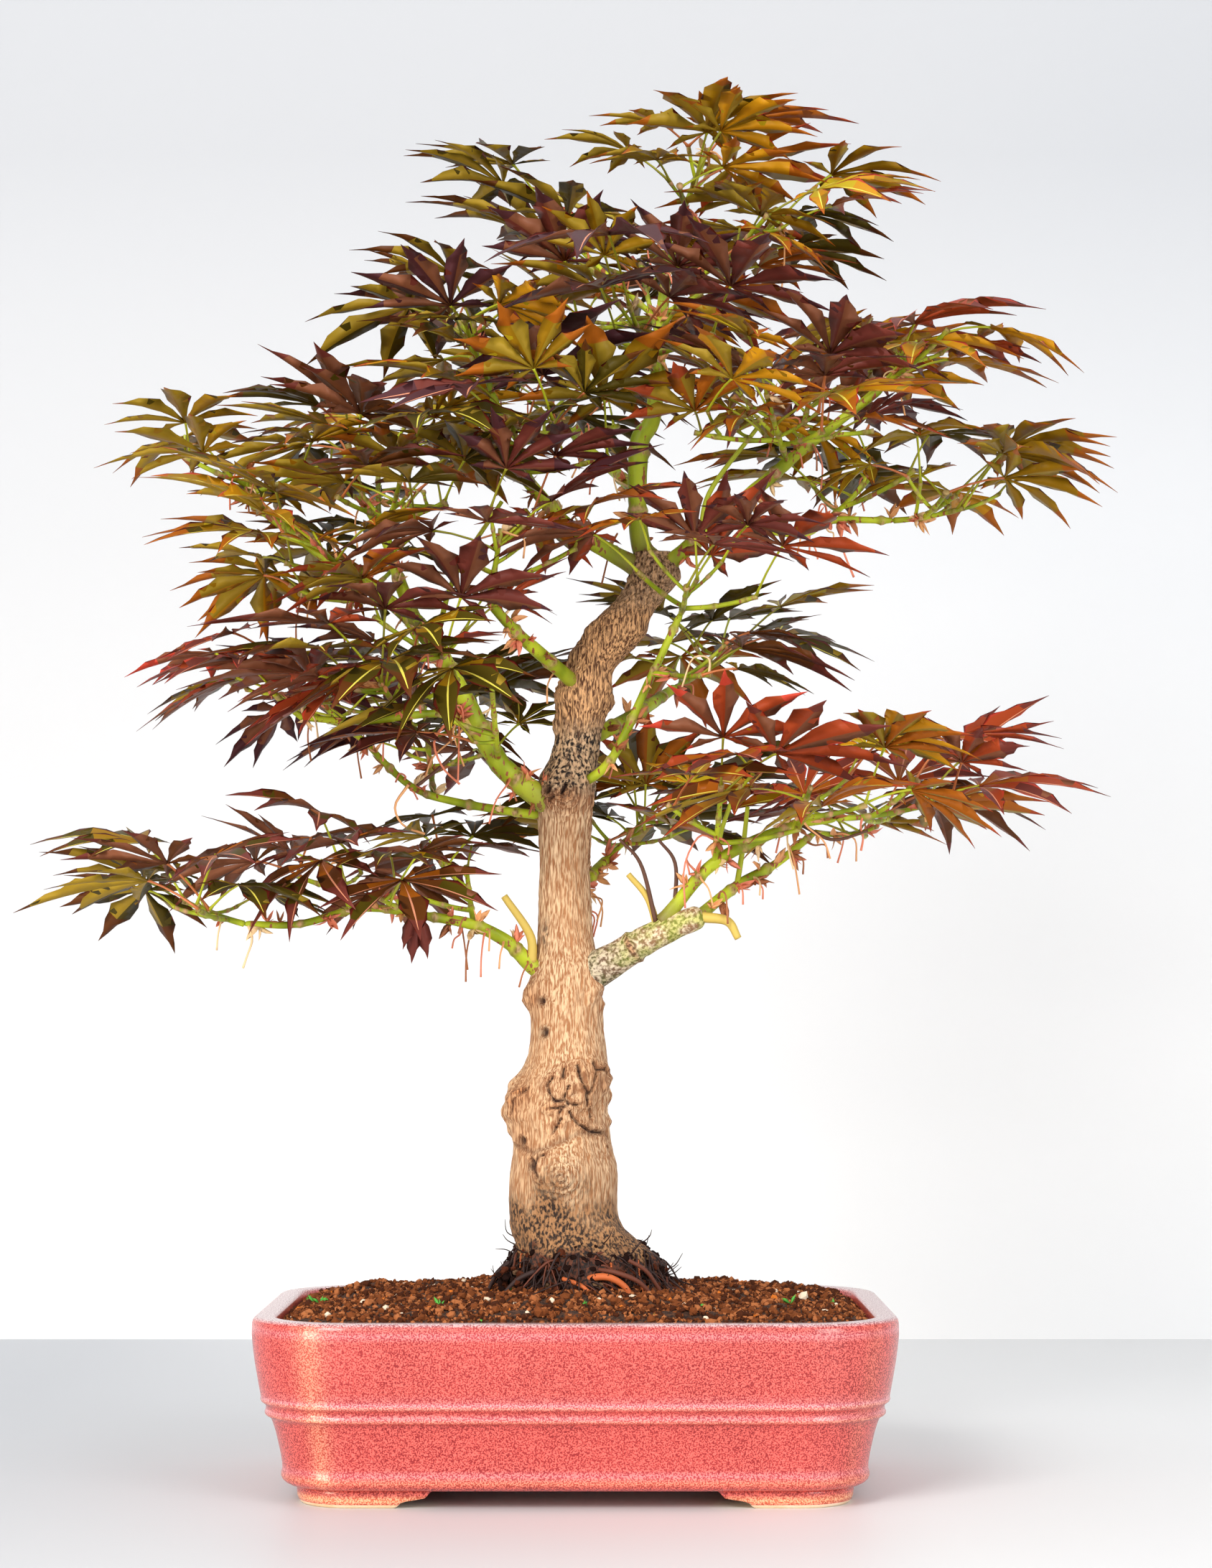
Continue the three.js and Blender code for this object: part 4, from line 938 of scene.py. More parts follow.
rings_up = np.sin(2 * math.pi * (z / RING_STEP + 0.5 * wander(u, v, 8, 30, 31))) * top
rings_up = 0.3 * rings_up * np.clip(0.5 + wander(u, v, 6, 20, 32), 0, 1)
relief += rings_up + 0.9 * np.maximum(lumps, -0.5) * top
print("swells out to", swell.max().round(2), "mm, relief", relief.min().round(2), "to", relief.max().round(2))

# %% Cracks, creases and scars
crack = np.full(u.shape, 1e3)
for path in CRACKS:
    crack = np.minimum(crack, far_from(arc, heights, path))
ragged = crack + 0.55 * np.abs(rough) - 0.5 * np.maximum(wander(u, v, 30, 90, 30), 0)
cleft = np.maximum(ragged, 0)
crease = far_from(arc, heights, CREASE)
relief -= 2.2 * ridge(cleft, 0.55) - 0.9 * ridge(ragged, 1.1, 2)
relief -= 1.1 * ridge(crease, 1.8)
# Painted shade in the cracks and the crease, over the darker bark that the cracks lay open.
dark_bark_and_shade = 1.25 * ridge(cleft, 0.5) + 0.4 * ridge(crease + 0.3 * rough, 1.2)
warm = 0.75 * ridge(crack, 3.4) * (0.7 + 0.5 * rough)
for x, at, reach in STAINS:
    warm += ridge(spot_off(x, at), reach) * (0.65 + 0.35 * rough)
# Scar hollows: darker wood, with painted shade in them.
for x, at, size in SCARS:
    off = spot_off(x, at) + 0.3 * rough
    relief += 1.1 * ridge(off, 0.9, size) - 1.6 * np.exp(-((off / size) ** 2) * 1.6)
    dark_bark_and_shade += np.exp(-((off / size) ** 2) * 1.3)
# Painted shade in the troughs of the scars' rings.
for x, at in RINGED_SCARS:
    off = spot_off(x, at) + 0.5 * rough
    inside_scar = ridge(off, 9)
    waves = np.cos(off * 2 * math.pi / RING_STEP)
    relief += 0.75 * waves * inside_scar + 0.9 * inside_scar
    dark_bark_and_shade += 0.5 * np.clip(-waves, 0, 1) * inside_scar
radius = r + swell + relief
bark_points = np.stack([cx + radius * np.cos(angle), cy + radius * np.sin(angle), heights], -1)
print("bark", bark_points.shape, "relief from", relief.min().round(2), "to", relief.max().round(2), "mm")

# %% Where the bark is soiled, black, grey or brown
# Painted shade in the deepest grooves between the fibres.
dark_bark_and_shade += 0.35 * np.clip(-fibre - 0.9, 0, 1)
edge = 139 + 16 * ridge(arc, 9, -6) - 2 * np.clip(np.cos(angle), 0, 1)
edge = edge + 9 * wander(u, v, 14, 26, 28) + 5 * lumps + 2 * rough
soiled = ease(np.clip((edge - z) / 24, 0, 1))
black = np.clip((110 + 6 * lumps + 3 * rough - z) / 5, 0, 1)
grey = np.clip(climb(316, 324) + 0.4 * rough, 0, 1) * climb(312, 322) * (1 - climb(346, 356))
grey = grey + 0.6 * climb(403, 411)
slant = ((arc + 10) / 2.5) ** 2 + ((z - 253 - 0.8 * (arc + 10)) / 7) ** 2
grey = np.maximum(grey, 0.8 * np.exp(-slant))
brown = climb(338, 352) + 0 * angle
values = {"dark_bark_and_shade": dark_bark_and_shade, "soiled": soiled, "grey": grey, "warm": warm, "black": black, "brown": brown}
values = {name: np.clip(value, 0, 1) for name, value in values.items()}
print("mean shares", {name: round(float(value.mean()), 2) for name, value in values.items()})

# %% [markdown]
# ### The look of old bark
# Old maple bark is tan with fine upright strokes, brown on top, soiled to a dark edge near the ground, and
# burnt orange round its wounds. A photograph of bark would repeat and stretch. Here each tone is a pair of
# colours dealt out by the mottle, and the values stored on the points say where which pair shows.

# %% Old bark
old_bark = new_finish("old_bark", (214, 178, 138), Roughness=0.82)
tree = old_bark.node_tree
strokes, clouds = place_mottle(tree, 1250.0, 60.0, contrast=0.1, stretch=(1, 1, 0.13))
tan = blend(tree, strokes, (152, 98, 58), (232, 198, 158))
tan = blend(tree, spread(tree, clouds, 0, 1, 0, 0.36), tan, (190, 136, 90))
spots, _ = place_mottle(tree, 760.0, 120.0, contrast=0.075, stretch=(1, 1, 0.6))
colour = layered(tree, tan, [
    ("warm", 0.85, strokes, (92, 46, 20), (196, 130, 78)),
    ("brown", 0.85, strokes, (66, 32, 14), (232, 176, 120)),
    ("grey", 1, spots, (26, 16, 12), (212, 176, 138)),
    ("soiled", 1, spots, (40, 24, 14), (166, 120, 78)),
    ("black", 1, spots, (24, 13, 9), (92, 48, 28)),
])
# Cracks, crease, scars and grooves darken: their darker bark, and painted shade in them.
colour = blend(tree, stored(tree, "dark_bark_and_shade"), colour, (44, 17, 8))
feed(old_bark, "Base Color", colour)
roughen(old_bark, strokes, 0.0004, 0.7)
faces = tube_faces(1, RINGS, SIDES)
trunk = make_piece("bark_of_trunk", bark_points.reshape(-1, 3), faces, [old_bark], values=values)
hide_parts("trunk")

# %% [markdown]
# ## The foot of the trunk
# Where the trunk meets the soil it is a dark tangle: fine roots that dive into the soil, a few thick ones
# that arch over it, thin splinters that stick up, and clods that cling to the bark. Placed by eye they would
# float or sink. So they start from random spots of the bark's own sheet and sit on it whatever its relief.

# %% Roots and splinters
dice = np.random.default_rng(61)


def foot_spots(count, low, high):
    """Random spots of the bark between two heights, the way out of the trunk there, and the way round it."""
    i = dice.choice(np.flatnonzero((z[:, 0] > low) & (z[:, 0] < high)), count)
    j = dice.integers(0, SIDES, count)
    out = np.column_stack([np.cos(angle[0, j]), np.sin(angle[0, j]), np.zeros(count)])
    return bark_points[i, j], out, np.cross((0, 0, 1.0), out)


def between(low, high, count):
    """A column of random values, one for each row of points."""
    return dice.uniform(low, high, (count, 1))


def with_radius(points, radius):
    """Points with a radius beside them."""
    return np.column_stack([points, np.broadcast_to(radius, (len(points), 1))])


def root_paths(count):
    """Fine roots: out of the bark, along it, and down into the soil."""
    spot, out, round_it = foot_spots(count, 90, 108)
    thick = between(0.22, 0.62, count)
    swing = between(-1.7, 1.7, count)
    first = spot - out
    second = spot + out * between(0.8, 2.2, count) + round_it * 4 * swing - (0, 0, 1)
    third = second + out * between(1, 4, count) + round_it * 5 * swing
    third[:, 2] = mix(second[:, 2], 89, dice.uniform(0.3, 0.8, count))
    last = third + out * between(2, 7, count) + round_it * 5 * swing
    last[:, 2] = 88.6
    knots = [with_radius(first, thick), with_radius(second, thick), with_radius(third, 0.8 * thick),
             with_radius(last, 0.5 * thick)]
    return list(np.stack(knots, 1))


def splinter_paths(count, low, high):
    """Thin splinters that stick out of the foot and up."""
    spot, out, round_it = foot_spots(count, low, high)
    up = np.array([0, 0, 1.0])
    second = spot + out * between(2, 6, count) + up * between(0, 4, count)
    last = second + out * between(1, 6, count) + up * between(0, 6, count) + round_it * between(-4, 4, count)
    knots = [with_radius(spot - out, 0.34), with_radius(second, 0.28), with_radius(last, 0.14)]
    return list(np.stack(knots, 1))


ROOT_TONES = {"root_dark": (44, 20, 15), "root_brown": (100, 48, 28), "root_orange": (196, 98, 46)}
root_tones = finishes(ROOT_TONES, Roughness=0.7)
FINE_ROOTS = 240
paths = root_paths(FINE_ROOTS) + splinter_paths(26, 90, 113) + splinter_paths(24, 88, 95)
splinter_tones = np.zeros(len(paths) - FINE_ROOTS, int)
tone = np.concatenate([dice.choice(3, FINE_ROOTS, p=[0.64, 0.31, 0.05]), splinter_tones])
rod_piece("fine_roots", paths, tone, root_tones, 9, 5)
# Thick roots read off the front, as x, y, z and radius.
ARCHING = [
    [(1, -33, 92, 1.5), (7, -38.5, 96.5, 1.7), (15, -40.5, 97, 1.6), (22, -39.5, 93, 1.4),
     (25, -39, 88, 1.2)],
    [(-6, -35, 96, 1), (2, -40, 93.5, 1), (8, -43, 89, 0.8)],
    [(10, -34, 100, 1), (18, -38, 99, 1.2), (28, -37, 95, 1.1), (35, -34, 88, 0.9)],
    [(24, -31, 104, 0.9), (32, -30, 99, 1), (39, -27, 89, 0.8)],
    [(-19, -31, 99, 1.2), (-27, -32, 95, 1.1), (-34, -33, 88, 0.8)],
    [(-31, -14, 102, 1), (-37, -18, 96, 1), (-41, -24, 88, 0.7)],
]
roots = rod_piece("arching_roots", ARCHING, (2, 2, 1, 1, 0, 0), root_tones, 24, 10)

# %% Clods on the foot
# How many cling to the bark, lie in one lump on the left, and lie in the ring round the foot.
ON_BARK, IN_LUMP, IN_RING = 640, 90, 260
spots, out, _ = foot_spots(ON_BARK, 88, 110)
spots = spots[dice.random(ON_BARK) < np.clip((112 - spots[:, 2]) / 12, 0.1, 1)]
lump = np.array([-31, -24, 94]) + dice.normal(0, 1, (IN_LUMP, 3)) * (3.4, 4, 3.2)
ring = dice.random(IN_RING) * 2 * math.pi
reach = dice.uniform(30, 41, IN_RING)
height = dice.uniform(89, 93.5, IN_RING)
around = np.column_stack([3 + reach * np.cos(ring), reach * np.sin(ring), height])
spots = np.concatenate([spots, lump, around])
CLOD_TONES = {"clod_black": (30, 15, 11), "clod_brown": (78, 38, 22), "clod_grey": (112, 84, 62)}
clod_tones = finishes(CLOD_TONES, Roughness=0.95, Specular_IOR_Level=0.1)
points, faces = chips(spots, dice.uniform(0.8, 2.1, len(spots)))
tone = dice.choice(3, len(spots), p=[0.62, 0.33, 0.05])
finish = np.repeat(tone, len(CHIP_FACES))
clods = make_piece("foot_clods", points, [faces], clod_tones, finish, flat=True)

# %% [markdown]
# ## The boughs
# Young maple wood is smooth and green, with a brown ringed collar at every node and a swollen foot where it
# leaves older wood. A curve object with a round bevel would give plain pipes. Here a circle is carried along
# each limb's line, and its radius swells at the feet and nodes, so that every bough is one closed skin.

# %% The lines of the limbs, as x, y, z and radius
LIMBS = {
    "leader": [[36, 2, 428, 5.4], [29.5, 3, 442, 4.5], [29.3, 4, 485, 4.7], [36, 3, 500, 3.9],
        [40, 2, 545, 3], [44, 0, 584, 1.9]],
    "low_right_bough": [[-2, 2, 231, 8], [15, -4, 240, 7.8], [30, -8, 249, 6.8], [45, -11, 256.5, 6.2],
        [59, -14, 262, 5.4]],
    "low_right_rise": [[40, -11, 259, 3.2], [64, -18, 286, 2.9], [98, -26, 302, 2.3], [120, -30, 306, 1.7]],
    "low_right_reach": [[54, -13, 259, 3], [75, -2, 276, 2.5], [94, 8, 287, 2], [113, 16, 302, 1.6]],
    "low_left_bough": [[-8, 2, 232, 4.4], [-20, -2, 238, 4], [-33, -6, 250, 3.2], [-50, -10, 258, 2.6],
        [-74, -14, 262, 2.1]],
    "low_left_reach": [[-70, -14, 261.5, 1.9], [-99, -18, 265, 1.8], [-128, -24, 257.5, 1.7],
        [-153, -28, 257.5, 1.5]],
    "mid_left_bough": [[-6, 4, 310, 5.8], [-31, -4, 328, 5.3], [-41, -8, 341, 5], [-65, -14, 385, 4.6],
        [-78, -15, 402, 4.2]],
    "mid_left_limb": [[-74, -15, 397, 3.6], [-91, -16, 411, 3.1], [-108, -18, 421.5, 2.6],
        [-154, -22, 456, 2]],
    "mid_left_fork": [[-74, -14, 396, 3.2], [-83, -12, 418, 3], [-90, -8, 439, 2.5], [-100, 0, 456, 1.9]],
    "mid_left_reach": [[-42, -8, 344, 2], [-61, -16, 355.5, 1.9], [-98, -30, 351, 1.7],
        [-126, -36, 352, 1.5]],
    "mid_left_under": [[-8, 5, 308, 2.3], [-54, 10, 315.5, 1.9], [-79, 16, 324, 1.7], [-102, 22, 346, 1.4]],
    "left_shoulder": [[4, 4, 368, 3.6], [-14, -14, 381.5, 3.3], [-27, -30, 391.5, 2.8], [-40, -48, 404, 2]],
    "high_left_bough": [[30, 2, 426, 4.4], [0, -2, 443, 3.8], [-12, -4, 454, 3.4], [-30, -8, 477, 2.8],
        [-40, -12, 508, 2]],
    "high_right_bough": [[36, 0, 422, 4], [65, -8, 446, 3.6], [94, -16, 470, 3.1], [106, -18, 480, 2.6],
        [143, -22, 508, 1.8]],
    "high_right_reach": [[66, -8, 447, 2.2], [106, 14, 445, 2], [121, 20, 452, 1.8], [152, 22, 452.5, 1.5]],
    "back_low_bough": [[-4, 6, 262, 4], [2, 36, 276, 3.4], [14, 70, 292, 2.4]],
    "back_mid_bough": [[0, 8, 344, 4.2], [24, 38, 358, 3.5], [48, 84, 378, 2.4]],
    "back_high_bough": [[29.4, 4, 462, 3.2], [18, 34, 478, 2.8], [0, 72, 500, 2.1]],
    "right_shoot": [[-2, 3, 322, 2.4], [16, -6, 335, 2.2], [34, -10, 372, 1.9], [49, -10, 404, 1.6]],
}
print("limbs", len(LIMBS), "from", min(k[-1][3] for k in LIMBS.values()), "mm thin at their ends")


# %% The skin of a limb
def limb_skin(knots, sides, seed):
    """One limb: the radius falls along the knots, swells to a foot, and rises in a ring at every node with
    two scars opposite each other. Returns the points, the number of rings, how near a node each point is,
    and how old its bark is."""
    dice = np.random.default_rng(seed)
    line = smooth_line(knots, np.linspace(0, 1, 400))
    run = np.concatenate([[0], np.cumsum(np.linalg.norm(np.diff(line[:, :3], axis=0), axis=1))])
    rings = max(12, int(run[-1] / 1.25))
    s = np.linspace(0, run[-1], rings)
    path = np.column_stack([np.interp(s, run, line[:, axis]) for axis in range(4)])
    radius = path[:, 3]
    thick = radius.mean()
    nodes = np.cumsum(dice.uniform(14, 22, 30) + 2.2 * thick)
    nodes = nodes[nodes < run[-1] - 4]
    angle = np.arange(sides) / sides * 2 * math.pi
    round_it, up = angle[None] / (2 * math.pi) + 0 * s[:, None], s[:, None] / run[-1]
    ripple = 0.05 * wander(round_it, up, 6, max(3, rings // 5), seed)
    shape = radius[:, None] * (1 + ripple + 0.3 * np.exp(-s / (1.6 * thick))[:, None])
    node_near = np.zeros((rings, sides))
    for number, at in enumerate(nodes):
        off = (s - at)[:, None]
        scars = np.abs(np.cos(angle - number * math.pi / 2))[None] ** 6
        shape += (0.1 * thick + 0.2) * ridge(off, 1.2) + (0.16 * thick + 0.3) * scars * ridge(off, 2)
        shape -= 0.06 * thick * ridge(off, 1.3, 2.6)
        node_near += ridge(off, 1.7) * (0.55 + 0.6 * scars)
    shape[-3:] *= np.array([0.95, 0.8, 0.45])[:, None]
    points = skin(path[:, :3], shape, sides)
    old = np.clip(1 - s / (7 * thick), 0, 1)[:, None] + np.zeros((1, sides))
    return points.reshape(-1, 3), rings, np.clip(node_near, 0, 1).ravel(), old.ravel()


def limb_piece(name, knot_lists, sides, first_seed, material):
    """Several limbs as one piece, with how near a node and how old each point is stored on the points."""
    skins = [limb_skin(knots, sides, first_seed + k) for k, knots in enumerate(knot_lists)]
    points, rings, nodes, old = zip(*skins)
    starts = np.cumsum([0] + [len(rows) for rows in points])
    parts = [[rows + start for rows in tube_faces(1, count, sides)] for count, start in zip(rings, starts)]
    faces = [np.concatenate(rows) for rows in zip(*parts)]
    values = {"node": np.concatenate(nodes), "old": np.concatenate(old)}
    return make_piece(name, np.concatenate(points), faces, [material], values=values)


# %% [markdown]
# ### The look of young wood
# Green bark has brown pores and pale ringed collars, and the oldest bough is scaly with moss between. One
# flat green would look like plastic. The stored values lead from green to brown towards a limb's foot and to
# the collar's tones at its nodes, and the mottle sprinkles the pores.

# %% Green wood
green_wood = new_finish("green_wood", (160, 168, 34), Roughness=0.5, Specular_IOR_Level=0.3)
tree = green_wood.node_tree
dots, streaks = place_mottle(tree, 420.0, 60.0, contrast=0.14, stretch=(1, 1, 0.5))
green = blend(tree, streaks, (126, 142, 14), (194, 208, 46))
green = blend(tree, spread(tree, dots, 0.86, 0.98), green, (150, 84, 52))
colour = blend(tree, spread(tree, stored(tree, "old"), 0.1, 0.95, 0, 0.85), green, (122, 104, 62))
colour = layered(tree, colour, [("node", 1, dots, (112, 72, 44), (206, 168, 122))])
feed(green_wood, "Base Color", colour)
roughen(green_wood, dots, 0.0003, 0.35)
mottled_wood = new_finish("mottled_wood", (176, 168, 110), Roughness=0.72)
tree = mottled_wood.node_tree
dots, patches = place_mottle(tree, 620.0, 130.0, contrast=0.1)
scaly = blend(tree, dots, (150, 112, 76), (232, 210, 176))
mossy = blend(tree, dots, (122, 128, 40), (206, 200, 120))
colour = blend(tree, patches, scaly, mossy)
colour = layered(tree, colour, [("old", 1, dots, (44, 37, 32), (186, 172, 152))])
collar = blend(tree, dots, (92, 52, 30), (196, 150, 108))
colour = blend(tree, spread(tree, stored(tree, "node"), 0.2, 0.9), colour, collar)
feed(mottled_wood, "Base Color", colour)
roughen(mottled_wood, dots, 0.0005, 0.7)

# %% Every limb
green_limbs = [name for name in LIMBS if name != "low_right_bough"]
boughs = limb_piece("green_boughs", [LIMBS[name] for name in green_limbs], 16, 40, green_wood)
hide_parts(*green_limbs)
low_bough = limb_piece("old_low_bough", [LIMBS["low_right_bough"]], 40, 7, mottled_wood)
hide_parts("low_right_bough")

# %% [markdown]
# ## Where the leaves grow
# The solids' masses of foliage come from a seeded rule: a stem with opposite pairs at its nodes, even nodes
# with twigs that end in a pair of leaves, odd ones with the pair itself, and three leaves at the end. A leaf
# is turned until it keeps clear of bark, stems and other leaves. The same rule runs here with the same
# numbers, for all turns of a leaf at once, so the dressed leaves lie where the solids' leaves lie.

# %% The rule's numbers
# A full leaf's length, the radii of stems and of twigs' tips, and the step between a pair, in millimetres.
LEAF, STEM, TWIG_TIP, STAGGER, END_STEP = 62, 1.5, 1.05, 2.6, 0.3
# What leaves keep clear of leaves, limbs and stems, and the height of a mass's space over its width.
LEAF_GAP, LIMB_GAP, TWIG_GAP, FLATNESS = 5, 2.5, 4, 0.66
# Turns tried for each leaf, draws for each mass, and seeds set aside for each draw.
TRIES, DRAWS, LEAF_SEEDS = 12, 16, 1000
# The middle lobe and those of one side: degrees from the middle, and share of the leaf's length.
LOBES = [(0, 1), (34, 0.93), (70, 0.74), (116, 0.38)]
PER_LEAF = 2 * len(LOBES) - 1
# Steps of the points that are tested on a vein, and how steeply a blade first rises from its stalk.
VEIN_STEP, BLADE_LIFT = 0.14, 0.08
LEAF_WAYS = {"size": (0.8, 1.15), "turn": (-30, 30), "rise": (-12, 12), "fold": (0, 48), "bank": (-24, 24),
             "stalk": (0.4, 0.72), "open": (0.9, 1.08), "curl": (0.06, 0.3)}
GROWTH = {"sag": 0.06, "nodes": (0.35, 0.95), "end_turn": (26, 58), "side_turn": (46, 86), "rise": (20, 56),
          "end_rise": (24, 66), "twig_length": (0.45, 0.75), "twig_lift": (0, 30), "pair_turn": (30, 64),
          "pair_rise": (16, 54), "pair_share": 0.92}
# Each mass: the limb that its stem leaves and how far along, the stem's end, the leaves' reach, and the
# count of nodes.
MASSES = {
    "low_left_tip": ("low_left_reach", 1, (-180, -36, 268), 84, 2),
    "low_left_middle": ("low_left_reach", 0.4, (-110, -24, 287), 86, 2),
    "low_left_near": ("low_left_bough", 1, (-90, -32, 269), 82, 2),
    "low_left_inner": ("low_left_bough", 0.72, (-53, 24, 286), 82, 2),
    "mid_left_tip": ("mid_left_reach", 1, (-142, -42, 366), 80, 2),
    "mid_left_front": ("mid_left_reach", 0.5, (-88, -64, 365), 98, 3),
    "mid_left_under": ("mid_left_under", 1, (-124, 22, 366), 88, 2),
    "mid_left_inner": ("mid_left_bough", 0.75, (-60, -50, 379), 98, 2),
    "left_limb_tip": ("mid_left_limb", 1, (-154, -24, 470), 86, 2),
    "left_limb_front": ("mid_left_limb", 0.5, (-119, -66, 430), 98, 3),
    "left_limb_under": ("mid_left_limb", 0.3, (-134, 30, 418), 90, 3),
    "left_fork_top": ("mid_left_fork", 1, (-108, -10, 484), 88, 3),
    "left_fork_front": ("mid_left_fork", 0.7, (-80, -60, 458), 94, 3),
    "left_fork_back": ("mid_left_fork", 0.8, (-98, 50, 492), 90, 3),
    "left_shoulder": ("left_shoulder", 1, (-34, -60, 436), 98, 3),
    "left_front_low": ("mid_left_bough", 0.4, (-38, -70, 367), 98, 2),
    "left_back": ("mid_left_under", 0.5, (-78, 104, 372), 98, 3),
    "high_left": ("high_left_bough", 1, (-48, -16, 534), 88, 3),
    "high_left_front": ("high_left_bough", 0.6, (-30, -74, 486), 98, 3),
    "crown_left": ("leader", 0.8, (-18, 0, 600), 86, 3),
    "crown_front": ("leader", 0.7, (24, -74, 536), 98, 3),
    "crown_tip": ("leader", 1, (62, -8, 626), 80, 3),
    "crown_right": ("leader", 0.86, (98, 8, 596), 90, 3),
    "crown_back": ("leader", 0.76, (31, 76, 590), 92, 3),
    "high_right": ("high_right_bough", 1, (150, -22, 516), 86, 3),
    "high_right_front": ("high_right_bough", 0.6, (86, -76, 495), 98, 3),
    "high_right_back": ("high_right_bough", 0.7, (116, 64, 529), 92, 3),
    "right_reach_tip": ("high_right_reach", 1, (184, 6, 456), 90, 2),
    "right_reach_back": ("high_right_reach", 0.6, (145, 60, 481), 98, 3),
    "centre_front": ("right_shoot", 1, (50, -70, 408), 98, 3),
    "right_shoot": ("right_shoot", 0.7, (62, -36, 372), 68, 2),
    "low_right_inner": ("low_right_rise", 0.33, (66, -52, 320), 98, 3),
    "low_right_middle": ("low_right_rise", 0.7, (106, -62, 318), 98, 3),
    "low_right_tip": ("low_right_rise", 1, (160, -22, 312), 102, 3),
    "low_right_under": ("low_right_reach", 1, (140, 44, 304), 98, 3),
    "back_low": ("back_low_bough", 1, (40, 95, 322), 98, 3),
    "back_mid": ("back_mid_bough", 1, (75, 116, 400), 98, 3),
    "back_high": ("back_high_bough", 1, (-16, 106, 524), 98, 3),
}
UP = np.array([0, 0, 1.0])
print("masses", len(MASSES), "on", len({mass[0] for mass in MASSES.values()}), "limbs")


# %% A mass's stem, twigs and places for leaves
def grow_mass(mass, start, seed):
    """The stem is a curve from start to end, drawn towards a point that sags below the middle. Places are
    dictionaries of the stalk's foot, its turn and rise, the leaf's share of a full size, and its twig."""
    roll = rolls(seed)
    end = np.array(mass[2], float)
    way = end - start
    length = np.linalg.norm(way)
    sag = mix(start, end, 0.5) - UP * GROWTH["sag"] * length
    curve = lambda t: (1 - t) ** 2 * start + 2 * (1 - t) * t * sag + t * t * end
    on_stem = lambda t, steps: curve(t - steps * STAGGER / length)
    heading = math.atan2(way[1], way[0])
    places, nodes = [], mass[4]
    for k in range(nodes):
        last = k == nodes - 1
        t = 1 if last else mix(*GROWTH["nodes"], k / (nodes - 1))
        for side in (-1, 1):
            node = on_stem(t, 2 + side / 2 if last else side)
            bounds = GROWTH["end_turn" if last else "side_turn"]
            turn = heading + side * math.radians(within(bounds, next(roll)))
            rise = within(GROWTH["rise"], next(roll))
            if last or k % 2 == 1:
                places.append({"node": node, "turn": turn, "rise": rise, "share": 1, "twig": None})
                continue
            reach = LEAF * within(GROWTH["twig_length"], next(roll))
            lift = math.radians(within(GROWTH["twig_lift"], next(roll)))
            tip = node + unit(np.array([math.cos(turn), math.sin(turn), math.tan(lift)])) * reach
            twig = (len(places), node, tip)
            for pair in (0, 1):
                aim = turn + (2 * pair - 1) * math.radians(within(GROWTH["pair_turn"], next(roll)))
                foot = mix(tip, node, (END_STEP + pair) * STAGGER / reach)
                rise = within(GROWTH["pair_rise"], next(roll))
                share = GROWTH["pair_share"]
                places.append({"node": foot, "turn": aim, "rise": rise, "share": share, "twig": twig})
    rise = within(GROWTH["end_rise"], next(roll))
    places.append({"node": on_stem(1, END_STEP), "turn": heading, "rise": rise, "share": 1, "twig": None})
    return curve, places


# %% One leaf, for many seeds at once
def draw_leaves(place, seeds):
    """Stalk, plane, size and lobes of a leaf at a place, one for each seed: the stalk goes out and up, and
    the blade folds down from it, turns over to one side, and carries seven lobes."""
    rows = dict(zip(LEAF_WAYS, roll_rows(seeds, len(LEAF_WAYS))))
    way = {key: within(LEAF_WAYS[key], row) for key, row in rows.items()}
    size = LEAF * place["share"] * way["size"]
    turn = place["turn"] + np.radians(way["turn"])
    rise = place["rise"] + way["rise"]
    fold, lift, bank = np.radians(way["fold"] - rise), np.radians(rise), np.radians(way["bank"])
    length = size * way["stalk"]
    out = np.stack([np.cos(turn), np.sin(turn), 0 * turn], -1)
    stalk = out * (length * np.cos(lift))[:, None] + UP * (length * np.sin(lift))[:, None]
    forward = out * np.cos(fold)[:, None] - UP * np.sin(fold)[:, None]
    level = np.cross(UP, out)
    left = level * np.cos(bank)[:, None] + np.cross(forward, level) * np.sin(bank)[:, None]
    sides = [(-a, s) for a, s in LOBES[:0:-1]] + LOBES
    angles = np.radians([a for a, _ in sides])[None] * way["open"][:, None]
    lengths = np.array([s for _, s in sides])[None] * size[:, None]
    node = np.broadcast_to(place["node"], stalk.shape)
    face = np.cross(forward, left)
    return {"node": node, "base": node + stalk, "forward": forward, "left": left, "face": face,
            "size": size, "curl": way["curl"], "angles": angles, "lengths": lengths}


def on_blade(leaf, angle, distance):
    """Points of the blade: out along an angle, sinking below its plane with the square of the distance."""
    far = distance / leaf["size"][:, None]
    rise = leaf["size"][:, None] * (BLADE_LIFT * far - leaf["curl"][:, None] * far * far)
    ahead, aside = distance * np.cos(angle), distance * np.sin(angle)
    parts = ((leaf["forward"], ahead), (leaf["left"], aside), (leaf["face"], rise))
    return leaf["base"][:, None] + sum(way[:, None] * much[..., None] for way, much in parts)


FAR = [VEIN_STEP]
while FAR[-1] + VEIN_STEP < 1:
    FAR.append(FAR[-1] + VEIN_STEP)
FAR = np.array(FAR + [1])


def vein_points(leaf):
    """The points that stand for each leaf when its room is tested: on every vein and on half of its stalk."""
    angle = np.repeat(leaf["angles"], len(FAR), axis=1)
    distance = (leaf["lengths"][:, :, None] * FAR).reshape(len(leaf["size"]), -1)
    share = np.array([0.55, 0.7, 0.85, 1])[None, :, None]
    stalk = mix(leaf["node"][:, None], leaf["base"][:, None], share)
    return np.concatenate([on_blade(leaf, angle, distance), stalk], axis=1)


